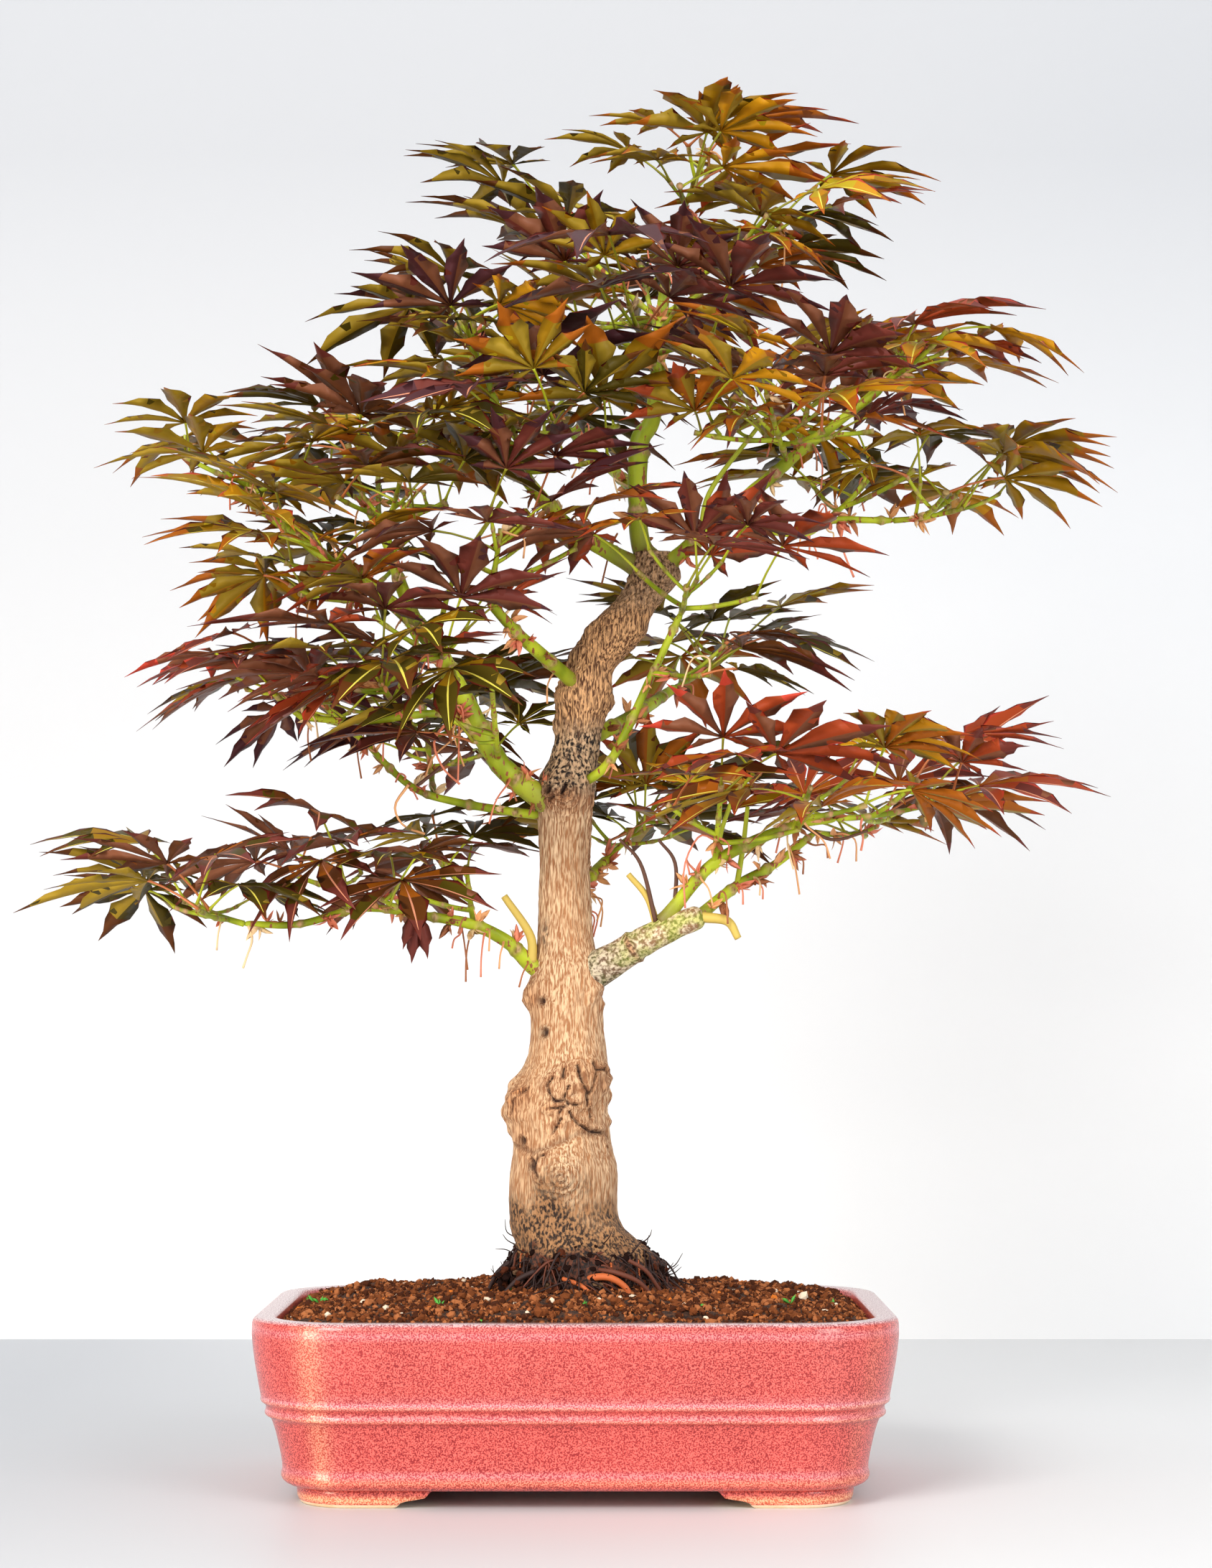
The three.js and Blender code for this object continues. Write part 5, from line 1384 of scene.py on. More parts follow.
# %% Room among bark, stems and leaves
def bark_samples(knots):
    """Four points of a limb's line in every span, with a radius that goes evenly from knot to knot."""
    knots = np.asarray(knots, float)
    steps = 4 * (len(knots) - 1)
    number = np.arange(steps + 1)
    at = np.minimum(number // 4, len(knots) - 2)
    radius = mix(knots[at, 3], knots[at + 1, 3], number / 4 - at)
    return np.column_stack([smooth_line(knots[:, :3], number / steps), radius])


BARK = np.concatenate([bark_samples(knots) for knots in [TRUNK, *LIMBS.values()]])
NONE = np.zeros((0, 3))
print("points of bark to keep clear of", len(BARK))


def clear_of(points, taken, gap):
    """Whether every point of each row keeps its gap from all taken points: squared distances from the sum of
    both squares less twice the product."""
    if not len(points) or not len(taken):
        return np.ones(len(points), bool)
    flat = points.reshape(-1, 3)
    squares = (flat**2).sum(1)[:, None] + (taken**2).sum(1)[None] - 2 * flat @ taken.T
    return (squares >= np.square(gap)).all(1).reshape(points.shape[:2]).all(1)


def near_to(mass, points, gap):
    """The points that a leaf inside a mass's space can come nearer to than the gap."""
    off = (points[:, :3] - mass[2]) / (1, 1, FLATNESS)
    return points[np.linalg.norm(off, axis=1) < mass[3] + gap / FLATNESS + 1]


def bark_round(mass, gap):
    """The bark near a mass, from the mass's middle, and how far leaves keep from each of its points."""
    bark = near_to(mass, BARK, BARK[:, 3] + LIMB_GAP)
    return bark[:, :3] - mass[2], bark[:, 3] + gap


def points_round(mass, points, gap):
    """The points near a mass, from the mass's middle, and the gap that leaves keep from them."""
    return near_to(mass, points, gap) - mass[2], gap


# The stretch of trunk that stays in sight between the pads: its heights, and how far a leaf keeps aside.
BARE = {"from": 300, "to": 424, "half": 16}


def hides_trunk(points):
    """Whether points hang before that stretch of trunk."""
    beside = np.abs(points[..., 0] - np.interp(points[..., 2], TRUNK[:, 2], TRUNK[:, 0]))
    level = (points[..., 2] >= BARE["from"]) & (points[..., 2] <= BARE["to"])
    return (points[..., 1] <= 0) & level & (beside < BARE["half"])


def fits(points, mass, near):
    """Which rows of points stay in the mass's flat round space and clear of everything near, tested from the
    cheapest test to the dearest. All points are measured from the middle of the mass."""
    good = (np.linalg.norm(points / (1, 1, FLATNESS), axis=2) < mass[3]).all(1)
    good &= ~hides_trunk(points + mass[2]).any(1)
    for taken, gap in near:
        rows = np.flatnonzero(good)
        good[rows] = clear_of(points[rows], taken, gap)
    return good


def first_fit(leaf, mass, near):
    """The first of a leaf's turns that fits, and its points from the middle of the mass, or none of both."""
    points = vein_points(leaf) - mass[2]
    good = np.flatnonzero(fits(points, mass, near))
    if not len(good):
        return None, NONE
    return {key: value[good[:1]] for key, value in leaf.items()}, points[good[0]]


# %% Draw every mass, and keep its leafiest draw
def start_of(mass):
    """Where a stem leaves its limb, a whole number of steps along it."""
    knots = np.asarray(LIMBS[mass[0]], float)[:, :3]
    steps = 10 * (len(knots) - 1)
    return smooth_line(knots, [math.floor(mass[1] * steps + 0.5) / steps])[0]


def draw_mass(mass, start, seed, around):
    """One draw: leaves where they fit, and the twigs that carry any."""
    curve, places = grow_mass(mass, start, seed)
    own, kept, refused, leaves = NONE, {}, set(), []
    for number, place in enumerate(places):
        twig = place["twig"]
        near = around + [(own, LEAF_GAP)]
        is_new = twig is not None and twig[0] not in kept
        if twig is not None and twig[0] in refused:
            continue
        if is_new:
            tip = (twig[2] - mass[2])[None, None]
            if not all(clear_of(tip, taken, gap)[0] for taken, gap in near):
                refused.add(twig[0])
                continue
        turns = draw_leaves(place, LEAF_SEEDS * seed + TRIES * number + np.arange(TRIES))
        leaf, points = first_fit(turns, mass, near)
        if leaf:
            leaves.append(leaf)
            own = np.concatenate([own, points])
            if is_new:
                kept[twig[0]] = twig
    return curve, list(kept.values()), leaves, own + mass[2]


def leafiness(draw):
    """The sum of the squares of the sizes of a draw's leaves."""
    return sum(float(leaf["size"][0]) ** 2 for leaf in draw[2])


starts = {name: start_of(mass) for name, mass in MASSES.items()}
stem_points = []
for name, mass in MASSES.items():
    curve, _ = grow_mass(mass, starts[name], 0)
    stem_points += [curve(0.5), curve(1.0)]
stem_points = np.array(stem_points)
grown, leaf_points = {}, NONE
for number, (name, mass) in enumerate(MASSES.items(), 1):
    around = [bark_round(mass, LIMB_GAP), points_round(mass, stem_points, TWIG_GAP),
              points_round(mass, leaf_points, LEAF_GAP)]
    draws = [draw_mass(mass, starts[name], DRAWS * number + n, around) for n in range(DRAWS)]
    grown[name] = max(draws, key=leafiness)
    leaf_points = np.concatenate([leaf_points, grown[name][3]])
twig_count, leaf_count = (sum(len(draw[kind]) for draw in grown.values()) for kind in (1, 2))
print("leaves", leaf_count, "twigs", twig_count)

# %% [markdown]
# ## Finer twigs
# Solids stop at a few leaves for each mass, because every one of them is cut and checked. A real crown goes
# on: short side shoots with a pair of smaller leaves stand between the larger ones. They grow here by the
# same steps, from points along each stem and twig, inside the same space, and only where they find room, so
# the sky still shows through where no mass is.

# %% Shoots with a pair of smaller leaves
FINE = {"gap": 3.4, "limb_gap": 1.5, "share": (0.6, 0.95), "length": (9, 26), "lift": (-8, 52),
        "aside": (34, 88), "rounds": 3, "tries": 5, "seed": 90000}


def spots_of(name):
    """Places for shoots: points and headings along a mass's stem and along its kept twigs."""
    curve, twigs, _, _ = grown[name]
    spots = []
    for t in (0.3, 0.44, 0.56, 0.68, 0.8, 0.9):
        way = curve(t + 0.02) - curve(t)
        spots.append((curve(t), math.atan2(way[1], way[0])))
    for _, node, tip in twigs:
        way = tip - node
        spots += [(mix(node, tip, t), math.atan2(way[1], way[0])) for t in (0.35, 0.7)]
    return spots


def grow_shoot(mass, spot, heading, side, seed, around):
    """One shoot: out to a side and up, its pair of leaves tried in a few turns against everything near."""
    roll = rolls(seed)
    turn = heading + side * math.radians(within(FINE["aside"], next(roll)))
    lift = math.radians(within(FINE["lift"], next(roll)))
    length = within(FINE["length"], next(roll))
    level = math.cos(lift)
    tip = spot + length * np.array([math.cos(turn) * level, math.sin(turn) * level, math.sin(lift)])
    share = within(FINE["share"], next(roll))
    leaves, own = [], NONE
    for pair in (-1, 1):
        aim = turn + pair * math.radians(within(GROWTH["pair_turn"], next(roll)))
        place = {"node": tip, "turn": aim, "rise": within(GROWTH["pair_rise"], next(roll)), "share": share}
        seeds = FINE["tries"] * (2 * seed + (pair > 0)) + np.arange(FINE["tries"])
        leaf, points = first_fit(draw_leaves(place, seeds), mass, around + [(own, FINE["gap"])])
        if leaf:
            leaves.append(leaf)
            own = np.concatenate([own, points])
    return tip, leaves, own + mass[2]


shoots, fine_points, seed = [], leaf_points, FINE["seed"]
for turn_round in range(FINE["rounds"]):
    for name, mass in MASSES.items():
        bark = bark_round(mass, FINE["limb_gap"])
        for number, (spot, heading) in enumerate(spots_of(name)):
            for side in (-1, 1):
                seed += 1
                if (number + turn_round + (side > 0)) % FINE["rounds"]:
                    continue
                around = [bark, points_round(mass, fine_points, FINE["gap"])]
                tip, leaves, points = grow_shoot(mass, spot, heading, side, seed, around)
                if leaves:
                    shoots.append((name, spot, tip, leaves))
                    fine_points = np.concatenate([fine_points, points])
print("shoots", len(shoots), "with leaves", sum(len(s[3]) for s in shoots))

# %% [markdown]
# ## The shape of a leaf
# A maple leaf is seven long lobes that meet at the stalk. Each is toothed, folded a little along its vein,
# and dark red at the rim. A flat card with a picture would show its edge from the side, so every lobe is a
# thin closed lens in its own outline: nine rings of seven points, five strips above and two below. All lobes
# of all leaves come from the same array formula.

# %% Lobes as thin lenses
# The outline: shares of the length, the half width there, and how far the teeth move each side of it.
ALONG = np.array([0, 0.12, 0.25, 0.38, 0.5, 0.62, 0.74, 0.87, 1])
WIDE = np.array([0.12, 0.24, 0.47, 0.8, 1, 0.86, 0.56, 0.22, 0.012])
TEETH = np.array([0, 0, 0.02, -0.06, 0.1, -0.13, 0.17, -0.2, 0])
# Places across a ring, from edge to edge on top, and the middle of the underside last.
ACROSS = np.array([-1, -0.84, -0.07, 0.07, 0.84, 1, 0])
LENS_SIDES = len(ACROSS)


def lenses(base, way, side, face, length, width, rise, bend, gutter, dice,
           along=ALONG, wide=WIDE, teeth=TEETH):
    """Closed blades, one for each row: at each share of the length a ring of points lies across the way, its
    width from the outline with teeth, lifted by rise, moved aside by bend times the share squared, raised
    towards its edges by the gutter, and half a millimetre thick under the vein."""
    count, rings = len(base), len(along)
    half = width[:, None] * wide[None] * (1 + dice.uniform(-0.05, 0.05, (count, rings)))
    sign = np.sign(ACROSS)
    half = half[:, :, None] * (1 + sign * teeth[None, :, None] * (np.abs(ACROSS) == 1))
    offset = half * ACROSS + (bend * length)[:, None, None] * (along**2)[None, :, None]
    wave = 0.1 * np.sin(along * 13 + dice.uniform(0, 6.3, (count, 1)))
    lift = rise[:, :, None] + np.abs(half * ACROSS) * (gutter[:, None, None] + wave[:, :, None])
    thick = 0.5 * np.clip(1.15 - along, 0.2, 1) * np.minimum(1, width / 4)[:, None]
    lift = lift - (ACROSS == 0) * thick[:, :, None]
    distance = length[:, None, None] * along[None, :, None] + 0 * lift
    parts = ((way, distance), (side, offset), (face, lift))
    points = base[:, None, None] + sum(v[:, None, None] * much[..., None] for v, much in parts)
    return points.reshape(-1, 3), *tube_faces(count, rings, LENS_SIDES)


# %% [markdown]
# ### The colours of the leaves
# In spring such a tree wears several colours at once: gold and olive at the ends of sprays, wine and maroon
# in the crown, flame red where young leaves catch the light. One noise over all leaves would mix them
# evenly. So each spray has its own palettes, and each leaf draws one and gives it to its strips.

# %% Tones, palettes and sprays
TONES = {
    "leaf_lime": (180, 156, 26), "leaf_gold": (190, 132, 18), "leaf_olive": (144, 106, 12),
    "leaf_moss": (74, 62, 12), "leaf_bronze": (162, 88, 20), "leaf_umber": (92, 50, 18),
    "leaf_rust": (158, 64, 32), "leaf_maroon": (108, 50, 42), "leaf_wine": (76, 40, 44),
    "leaf_flame": (196, 68, 50), "leaf_rim": (90, 28, 18), "leaf_red_rim": (178, 58, 40),
    "vein_lime": (236, 222, 92), "vein_rose": (222, 146, 112), "under_olive": (152, 124, 34),
    "under_rose": (126, 76, 52),
}
TONE_LIST = list(TONES)
leaf_tones = finishes(TONES, Roughness=0.45, Specular_IOR_Level=0.13)
# Inner, middle and outer part of the blade, rim, vein and underside.
PALETTES = {
    "olive": ("leaf_lime", "leaf_olive", "leaf_bronze", "leaf_rim", "vein_lime", "under_olive"),
    "gold": ("leaf_lime", "leaf_gold", "leaf_bronze", "leaf_red_rim", "vein_lime", "under_olive"),
    "moss": ("leaf_olive", "leaf_moss", "leaf_umber", "leaf_rim", "vein_lime", "under_olive"),
    "shade": ("leaf_moss", "leaf_moss", "leaf_umber", "leaf_umber", "leaf_olive", "leaf_moss"),
    "bronze": ("leaf_gold", "leaf_bronze", "leaf_rust", "leaf_rim", "vein_lime", "under_olive"),
    "umber": ("leaf_bronze", "leaf_umber", "leaf_maroon", "leaf_rim", "vein_rose", "under_rose"),
    "rust": ("leaf_bronze", "leaf_rust", "leaf_maroon", "leaf_red_rim", "vein_rose", "under_rose"),
    "maroon": ("leaf_umber", "leaf_maroon", "leaf_wine", "leaf_rim", "vein_rose", "under_rose"),
    "wine": ("leaf_maroon", "leaf_wine", "leaf_wine", "leaf_rim", "vein_rose", "under_rose"),
    "flame": ("leaf_gold", "leaf_rust", "leaf_flame", "leaf_flame", "vein_rose", "under_rose"),
}
# Painted shade: the darker palette that a leaf behind the front turns into, half of the time, and whose middle
# tone darkens one half of a folded lobe.
SHADE_PALETTES = {
    "olive": "moss", "gold": "olive", "moss": "shade", "shade": "shade", "bronze": "umber",
    "umber": "shade", "rust": "maroon", "maroon": "wine", "wine": "wine", "flame": "rust",
}
# What each spray is made of, as palettes with their shares, by the start of the mass's name.
SPRAYS = {
    "low_left": {"umber": 5, "maroon": 1, "moss": 4},
    "mid_left_tip": {"flame": 3, "rust": 4, "maroon": 3},
    "mid_left": {"maroon": 2, "rust": 2, "bronze": 3, "moss": 3},
    "left_limb": {"gold": 2, "olive": 4, "moss": 4},
    "left_fork": {"gold": 2, "olive": 3, "moss": 3, "umber": 2},
    "left_shoulder": {"rust": 3, "maroon": 4, "bronze": 3},
    "left": {"umber": 4, "moss": 3, "olive": 2, "maroon": 1},
    "high_left": {"gold": 2, "olive": 2, "moss": 4, "wine": 2},
    "crown_front": {"wine": 3, "maroon": 4, "gold": 2, "olive": 1},
    "crown_left": {"moss": 4, "bronze": 2, "wine": 2, "gold": 2},
    "crown": {"gold": 4, "olive": 3, "bronze": 3},
    "high_right_front": {"maroon": 4, "gold": 3, "bronze": 3},
    "high_right": {"gold": 4, "bronze": 4, "rust": 2},
    "right_reach": {"gold": 4, "olive": 3, "moss": 2},
    "centre": {"maroon": 3, "rust": 4, "bronze": 3},
    "right_shoot": {"umber": 5, "moss": 5},
    "low_right": {"rust": 3, "flame": 1, "bronze": 4, "gold": 3},
    "back": {"olive": 4, "moss": 3, "bronze": 3},
}


def spray_of(name):
    """The longest start in the list that the mass's name begins with."""
    return SPRAYS[max((key for key in SPRAYS if name.startswith(key)), key=len)]


print("tones", len(TONES), "palettes", len(PALETTES), "sprays", len(SPRAYS))


# %% The lobes of many leaves
def stack(leaves):
    """Many leaves as one dictionary of arrays."""
    return {key: np.concatenate([leaf[key] for leaf in leaves]) for key in leaves[0]}


# Half of each lobe's width, as a share of its length.
LOBE_WIDTHS = [0.15, 0.132, 0.124, 0.122, 0.124, 0.132, 0.15]


def leaf_lobes(leaf, dice):
    """The lenses of all lobes of many leaves. Lobes turn a few degrees from their angle, roll about their
    vein, curve away from the middle lobe, and sink with the square of the distance as the solids' blades
    do."""
    count = len(leaf["size"])
    lobes = PER_LEAF * count
    for_lobes = lambda value: np.repeat(value, PER_LEAF, axis=0)
    angle = leaf["angles"].ravel() + np.radians(dice.uniform(-4, 4, lobes))
    length = leaf["lengths"].ravel() * for_lobes(dice.uniform(0.98, 1.1, count))
    length = length * dice.uniform(0.95, 1.05, lobes)
    base, forward, left, face = (for_lobes(leaf[key]) for key in ("base", "forward", "left", "face"))
    way = forward * np.cos(angle)[:, None] + left * np.sin(angle)[:, None]
    side = -forward * np.sin(angle)[:, None] + left * np.cos(angle)[:, None]
    roll = dice.normal(0, 0.16, lobes)[:, None]
    side, face = side * np.cos(roll) + face * np.sin(roll), face * np.cos(roll) - side * np.sin(roll)
    size, curl = for_lobes(leaf["size"])[:, None], for_lobes(leaf["curl"])[:, None]
    far = length[:, None] * ALONG[None] / size
    droop = 0.05 * length[:, None] * ALONG**2 * dice.random((lobes, 1))
    rise = size * (BLADE_LIFT * far - curl * far**2) - droop
    width = np.tile(LOBE_WIDTHS, count) * dice.uniform(0.84, 1.12, lobes)
    bend = 0.05 * np.sign(np.round(angle, 1)) * dice.uniform(0, 1.4, lobes)
    bend = bend + dice.normal(0, 0.02, lobes)
    gutter = dice.uniform(0.2, 0.55, lobes)
    return lenses(base, way, side, face, length, width * length, rise, bend, gutter, dice)


# %% The tones of their faces
# Steps along a lobe, and how far behind the middle of the trunk a leaf counts as behind the front, where half
# of the leaves take painted shade.
BLADE_STEPS = len(ALONG) - 1
BEHIND = 15


def leaf_finish(names, depths, dice):
    """The tone of every face: strips take rim, blade, vein, blade, rim and twice the underside, and blade and
    underside change tone twice on the way to the tip. Painted shade darkens one half of many lobes, as if a
    lobe folded along its vein were lit on one side only, and one half of every underside takes the blade's
    middle tone as painted light and shade of the fold; half of the leaves behind the front take a palette of
    painted shade."""
    rows, step = [], np.arange(BLADE_STEPS)
    for name, depth in zip(names, depths):
        spray = spray_of(name)
        shares = np.array(list(spray.values()))
        palette = dice.choice(list(spray), p=shares / shares.sum())
        # Painted shade: half of the leaves behind the front take a darker palette.
        if depth > BEHIND and dice.random() < 0.5:
            palette = SHADE_PALETTES[palette]
        inner, middle, outer, rim, vein, under = (TONE_LIST.index(tone) for tone in PALETTES[palette])
        shade_middle = TONE_LIST.index(PALETTES[SHADE_PALETTES[palette]][1])
        first, last = 2 + dice.integers(0, 3), dice.integers(1, 4)
        lengths = [first, BLADE_STEPS - first - last, last]
        # Blade halves, the painted shade on one half of a lobe, and the two underside halves, one of them
        # painted light and shade of the fold.
        blade, shaded, down, painted_fold_under = (np.repeat([*tones, outer], lengths) for tones in [
            (inner, middle), (middle, shade_middle), (under, under), (middle, middle)])
        edge = np.where(step < 2, blade, rim)
        line = np.where(step < BLADE_STEPS - 1, vein, blade)
        # Painted shade on one half of many lobes.
        halves = [(blade, blade), (blade, shaded), (shaded, blade)]
        for choice in dice.choice(3, PER_LEAF, p=[0.4, 0.3, 0.3]):
            left, right = halves[choice]
            rows.append(np.stack([edge, left, line, right, edge, down, painted_fold_under], 1).ravel())
    return np.concatenate(rows)


def leaf_caps(finish, lobes):
    """Both ends of a lobe take the tone of its first blade strip."""
    return np.tile(finish.reshape(lobes, -1)[:, 1], 2)


# %% Every leaf
FOLIAGE = {
    "foliage_left": ("mid_left", "left"), "foliage_low": ("low_left", "low_right"),
    "foliage_top": ("high_left", "crown"), "foliage_right": ("high_right", "right", "centre"),
    "foliage_back": ("back",),
}
for piece_name, starts_with in FOLIAGE.items():
    names = [name for name in MASSES if name.startswith(starts_with)]
    leaves, owners = [], []
    for name in names:
        own = grown[name][2] + [leaf for shoot in shoots if shoot[0] == name for leaf in shoot[3]]
        leaves += own
        owners += [name] * len(own)
    dice = np.random.default_rng(len(piece_name) + 300)
    joined = stack(leaves)
    points, quads, caps = leaf_lobes(joined, dice)
    finish = leaf_finish(owners, joined["base"][:, 1], dice)
    finish = np.concatenate([finish, leaf_caps(finish, PER_LEAF * len(leaves))])
    piece = make_piece(piece_name, points, [quads, caps], leaf_tones, finish)
    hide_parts(*["leaves_" + name for name in names])

# %% [markdown]
# ### Stalks, stems and twigs
# Each leaf hangs on a thin arched stalk, lime to rose, and stems and twigs are green with a paler ring at
# every node. Hundreds of curve objects would be slow to draw and hard to colour. Here one call carries
# circles along all the lines at once, as they all have the same number of rings.

# %% Leaf stalks
every_leaf = [leaf for draw in grown.values() for leaf in draw[2]] + [leaf for s in shoots for leaf in s[3]]
every_leaf = stack(every_leaf)
STALK_SHARE = np.array([0, 0.12, 0.4, 0.7, 0.93, 1])
STALK_RADII = [1.05, 0.66, 0.56, 0.54, 0.62, 0.85]
STALK_SIDES = 5
run = (every_leaf["base"] - every_leaf["node"])[:, None]
rise = (4 * STALK_SHARE * (1 - STALK_SHARE))[None, :, None]
arch = 0.05 * np.linalg.norm(run, axis=-1, keepdims=True) * rise
middles = every_leaf["node"][:, None] + run * STALK_SHARE[None, :, None] + UP * arch
radii = np.tile(STALK_RADII, (len(middles), 1))[..., None]
STALK_TONES = {"stalk_lime": (182, 188, 30), "stalk_olive": (152, 148, 28), "stalk_rose": (196, 112, 60)}
stalk_tones = finishes(STALK_TONES, Roughness=0.5)
tone = np.random.default_rng(8).choice(3, len(middles), p=[0.45, 0.33, 0.22])
stalks = tube_piece("leaf_stalks", middles, radii, STALK_SIDES, stalk_tones, tone)

# %% Stems and twigs
STEM_RINGS, STEM_SIDES, NODE_STEP = 22, 8, 15
lines, widths = [], []
along = np.linspace(0, 1, STEM_RINGS)[:, None]


def hanging_line(node, tip, sag):
    """A line from node to tip that hangs below the straight one by a share of its length."""
    return mix(node, tip, along) - UP * sag * np.linalg.norm(tip - node) * 4 * along * (1 - along)


for name in MASSES:
    curve, twigs, _, _ = grown[name]
    lines.append(np.array([curve(float(t)) for t in along[:, 0]]))
    widths.append(np.linspace(STEM, TWIG_TIP, STEM_RINGS))
    for _, node, tip in twigs:
        lines.append(hanging_line(node, tip, 0.04))
        widths.append(np.linspace(1.2 * TWIG_TIP, TWIG_TIP, STEM_RINGS))
for _, node, tip, _ in shoots:
    lines.append(hanging_line(node, tip, 0.05))
    widths.append(np.linspace(0.95, 0.8, STEM_RINGS))
lines, widths = np.array(lines), np.array(widths)
length = np.linalg.norm(lines[:, -1] - lines[:, 0], axis=1)[:, None]
run = along[:, 0][None] * length
rings_at = np.abs(np.mod(run / NODE_STEP + 0.5, 1) - 0.5) * NODE_STEP
ringed = ridge(rings_at, 1.4) * (run > 5) + ridge(run - length, 2)
radii = (widths * (1 + 0.35 * ringed))[..., None]
node_near = np.repeat(np.clip(ringed, 0, 1), STEM_SIDES) * 0.8
values = {"node": node_near, "old": 0 * node_near}
stems = tube_piece("stems_and_twigs", lines, radii, STEM_SIDES, [green_wood], values=values)

# %% [markdown]
# ## Small dry things
# Winter buds leave peach and pink scales at the forks, cut twigs leave stubs, and dead stalks hang on for a
# while. Each could be modelled by hand, but there are hundreds, so scales are the leaves' lenses made short,
# and stalks and twigs are rods. Only the few large ones are listed one by one, as they were read off the front.

# %% Spots on boughs and stems
dice = np.random.default_rng(77)
MASS_SHARES = (0.02, 0.33, 0.37, 0.93, 0.97)
spots, ways = [], []
for name in green_limbs:
    line = smooth_line(LIMBS[name], np.linspace(0.12, 0.98, 14))
    spots.append(line)
    ways.append(unit(np.gradient(line[:, :3], axis=0)))
for name in MASSES:
    line = np.array([grown[name][0](t) for t in MASS_SHARES])
    spots.append(with_radius(line, 1.4))
    ways.append(unit(np.gradient(line, axis=0)))
spots, ways = np.concatenate(spots), np.concatenate(ways)
print("spots on wood", len(spots))


def on_wood(count):
    """Random spots of the wood's skin: the point, the way out, more often to the front, and the way along."""
    chosen = dice.integers(0, len(spots), count)
    along = ways[chosen]
    out = dice.normal(size=(count, 3)) + (0, -0.6, 0)
    out = unit(out - (out * along).sum(1, keepdims=True) * along)
    return spots[chosen, :3] + out * 0.85 * spots[chosen, 3:], out, along


# %% Bud scales
CLUSTERS, EACH = 260, 4
place, out, along = (np.repeat(rows, EACH, axis=0) for rows in on_wood(CLUSTERS))
count = CLUSTERS * EACH
way = unit(out + along * dice.uniform(-0.9, 1.4, (count, 1)) + dice.normal(0, 0.45, (count, 3)))
side = unit(np.cross(way, dice.normal(size=(count, 3))))
length = dice.uniform(3, 9, count)
shares = np.array([0, 0.3, 0.62, 0.86, 1])
scale_wide = np.array([0.5, 1, 0.8, 0.4, 0.04])
rise = dice.uniform(-0.5, 0.5, (count, 1)) * length[:, None] * shares**2
bend, gutter = dice.uniform(-0.2, 0.2, count), dice.uniform(0.2, 0.6, count)
points, quads, caps = lenses(place, way, side, np.cross(way, side), length, 0.2 * length, rise, bend, gutter,
                             dice, shares, scale_wide, np.zeros(len(shares)))
SCALE_TONES = {
    "scale_peach": (236, 170, 112), "scale_pink": (228, 132, 100), "scale_cream": (244, 208, 158),
    "scale_brown": (172, 104, 62),
}
scale_tones = finishes(SCALE_TONES, Roughness=0.6)
tone = np.repeat(dice.choice(4, CLUSTERS, p=[0.38, 0.26, 0.2, 0.16]), EACH)
finish = tube_finish(tone, len(shares), LENS_SIDES)
scales = make_piece("bud_scales", points, [quads, caps], scale_tones, finish)

# %% Dry stalks that hang from the wood
DRY = 110
place, out, along = on_wood(DRY)
length = dice.uniform(7, 24, (DRY, 1))
curl = dice.normal(0, 0.3, (DRY, 3))
knots = [place - out, place + out * 0.3 * length, place + (out * 0.55 + curl * 0.6 - UP * 0.25) * length,
         place + (out * 0.5 + curl - UP * 0.8) * length]
paths = list(np.stack([with_radius(knot, radius) for knot, radius in zip(knots, (0.75, 0.5, 0.42, 0.5))], 1))
# Dead stalks in plain sight, read off the front.
paths += [np.array(path) for path in (
    [(-151, -28, 257, 0.8), (-149, -30, 250, 0.6), (-151, -31, 243, 0.5), (-153, -31, 237, 0.6)],
    [(132, -28, 307, 0.7), (131, -30, 302, 0.5), (132, -31, 297, 0.5), (131, -31, 291, 0.6)],
    [(128, 20, 452, 0.8), (126, 16, 442, 0.5), (128, 15, 434, 0.5), (132, 15, 424, 0.6)],
    [(-78, -22, 322, 0.8), (-84, -24, 312, 0.6), (-80, -25, 303, 0.5), (-70, -26, 299, 0.6)],
    [(-60, -18, 352, 0.8), (-66, -24, 342, 0.6), (-62, -26, 330, 0.5), (-54, -26, 322, 0.6)],
)]
tone = np.concatenate([dice.choice(4, DRY, p=[0.34, 0.3, 0.12, 0.24]), [2, 1, 1, 0, 1]])
stalks = rod_piece("dry_stalks", paths, tone, scale_tones, 12, 5)

# %% Stubs, bare twigs and upright shoots, read off the front as x, y, z and radius
CUT_STUBS = [
    [(-21, -4, 240, 2.4), (-22, -5, 253, 2.1), (-34, -7, 271, 1.7)],
    [(38, -10, 255, 1.9), (33, -12, 270, 1.6), (24, -13, 281, 1.4)],
    [(58, -14, 261, 2.6), (70, -16, 259, 2.2), (75, -17, 251, 1.7)],
    [(-44, -9, 346, 2.2), (-50, -12, 350, 2), (-54, -14, 356, 1.8)],
]
BARE_TWIGS = [
    [(37, -12, 258, 1.2), (30, -16, 285, 0.9), (20, -18, 297, 0.7)],
    [(45, -12, 260, 1.1), (46, -15, 285, 0.9), (38, -17, 297, 0.7)],
    [(-47, -10, 348, 1.1), (-62, -16, 332, 0.9), (-74, -18, 322, 0.8)],
    [(104, -28, 303, 1), (118, -33, 296, 0.8), (134, -35, 300, 0.6)],
]
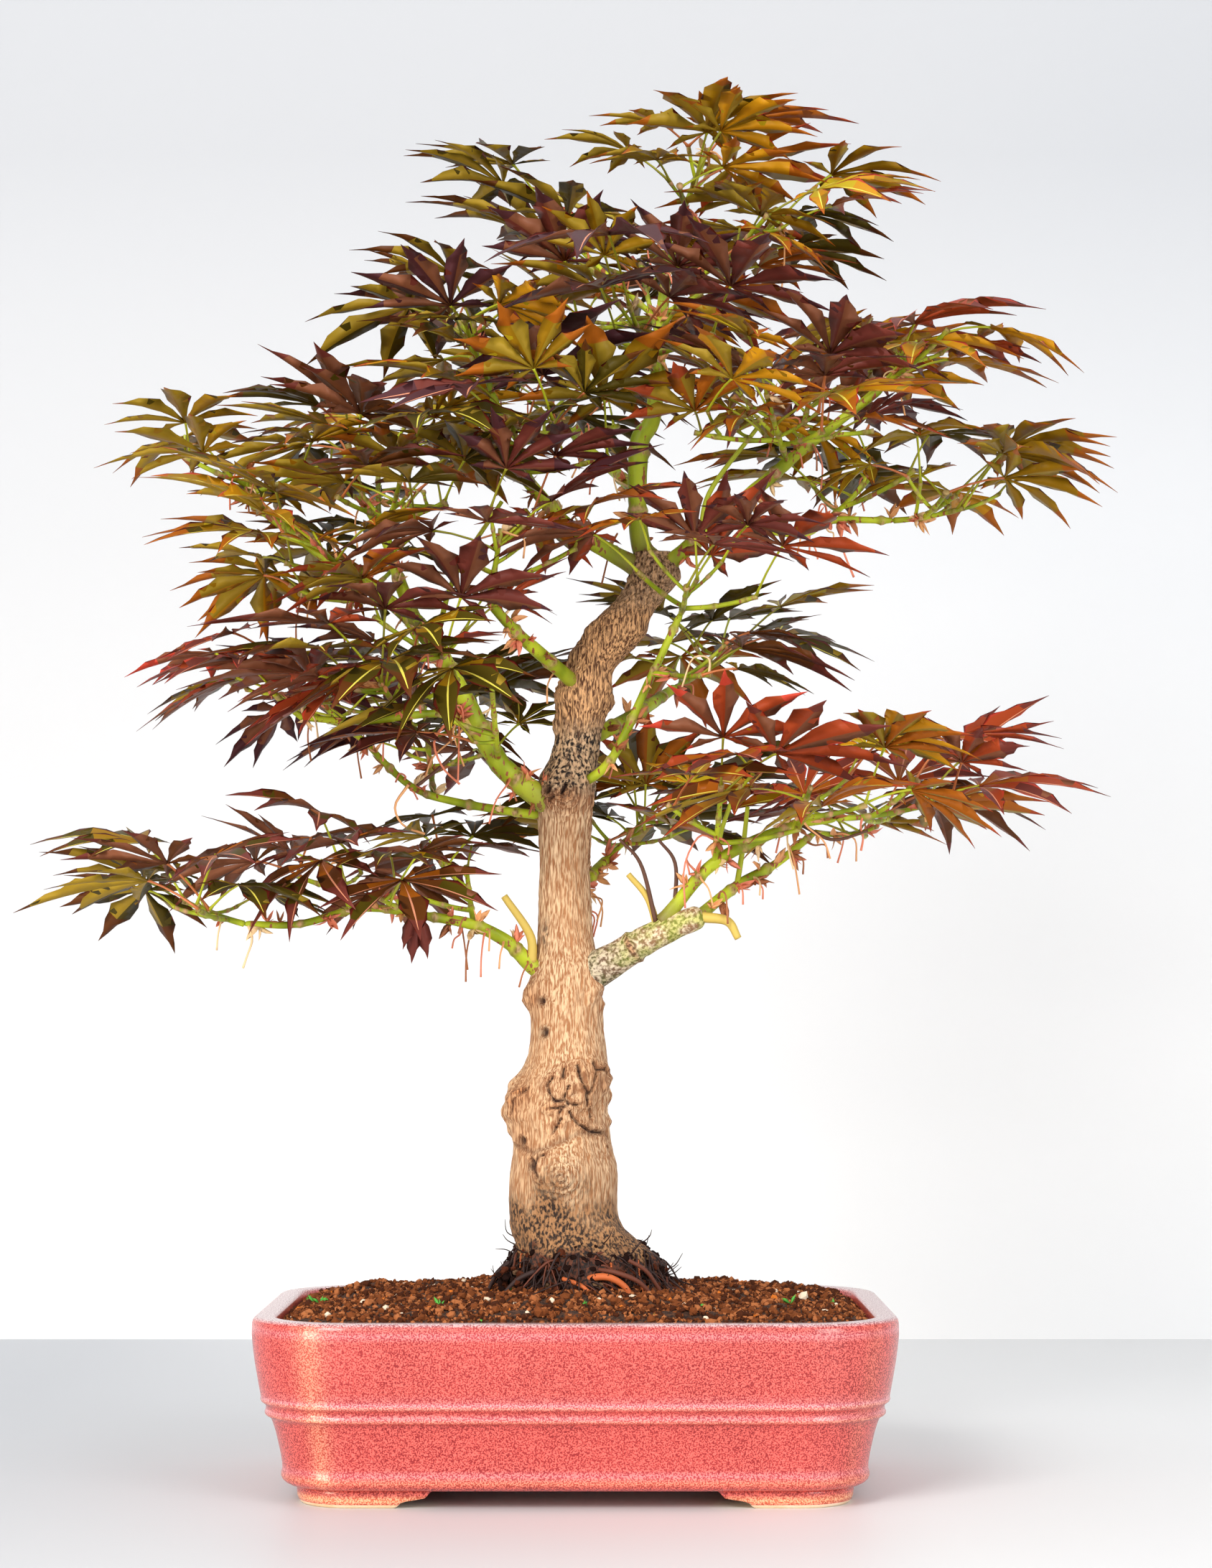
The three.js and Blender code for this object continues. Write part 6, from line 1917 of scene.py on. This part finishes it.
UPRIGHT = [
    [(65, -18, 286, 1.3), (67, -20, 300, 1.1), (72, -22, 315, 1)],
    [(75, -2, 276, 1.4), (78, -4, 295, 1.2), (80, -6, 313, 1)],
    [(58, -7, 441, 1.3), (63, -10, 462, 1.2), (85, -15, 491, 1)],
    [(107, -18, 481, 1.3), (145, -17, 513, 1.1), (160, -15, 532, 0.8)],
    [(-66, -14, 388, 1.4), (-57, -18, 420, 1.2), (-35, -20, 455, 1)],
]
STUB_TONES = {"stub_yellow": (206, 178, 84), "twig_brown": (92, 56, 38), "shoot_green": (174, 184, 34)}
paths = CUT_STUBS + BARE_TWIGS + UPRIGHT
tone = np.repeat([0, 1, 2], [len(CUT_STUBS), len(BARE_TWIGS), len(UPRIGHT)])
stubs = rod_piece("stubs_and_twigs", paths, tone, finishes(STUB_TONES, Roughness=0.6), 16, 9)

# %% A young leaf that hangs folded, and sprouts in the soil
HANGING = np.array([(-74, -24, 266), (-73, -25, 265), (-75, -25, 265)], float)
SPROUTS = [(-121, -10), (-118, -16), (3.5, -66), (118, -20), (96, -60), (-60, -72), (60, 10)]
plan = np.repeat(np.array(SPROUTS, float), 3, axis=0)
place = np.concatenate([HANGING, on_soil(plan, 0.4)])
tips = [(-0.1, 0.05, -1), (0.16, 0, -1), (-0.26, -0.1, -0.9)]
way = unit(np.concatenate([tips, dice.normal(size=(len(plan), 3)) * (0.7, 0.7, 0.2) + UP]))
side = unit(np.cross(way, dice.normal(0, 0.3, (len(place), 3)) + (0, -1, 0)))
length = np.concatenate([[27, 24, 20], dice.uniform(3, 6, len(plan))])
rise = 0.1 * length[:, None] * ALONG**2
straight = np.zeros(len(place))
points, quads, caps = lenses(place, way, side, np.cross(way, side), length, 0.16 * length, rise, straight,
                             straight + 0.4, dice)
sprout_green = new_finish("sprout_green", (84, 168, 60), Roughness=0.6)
tone = np.repeat([0, 1], [len(HANGING), len(plan)])
finish = tube_finish(tone, len(ALONG), LENS_SIDES)
two_tones = [leaf_tones[TONE_LIST.index("leaf_maroon")], sprout_green]
sprouts = make_piece("hanging_leaf_and_sprouts", points, [quads, caps], two_tones, finish)
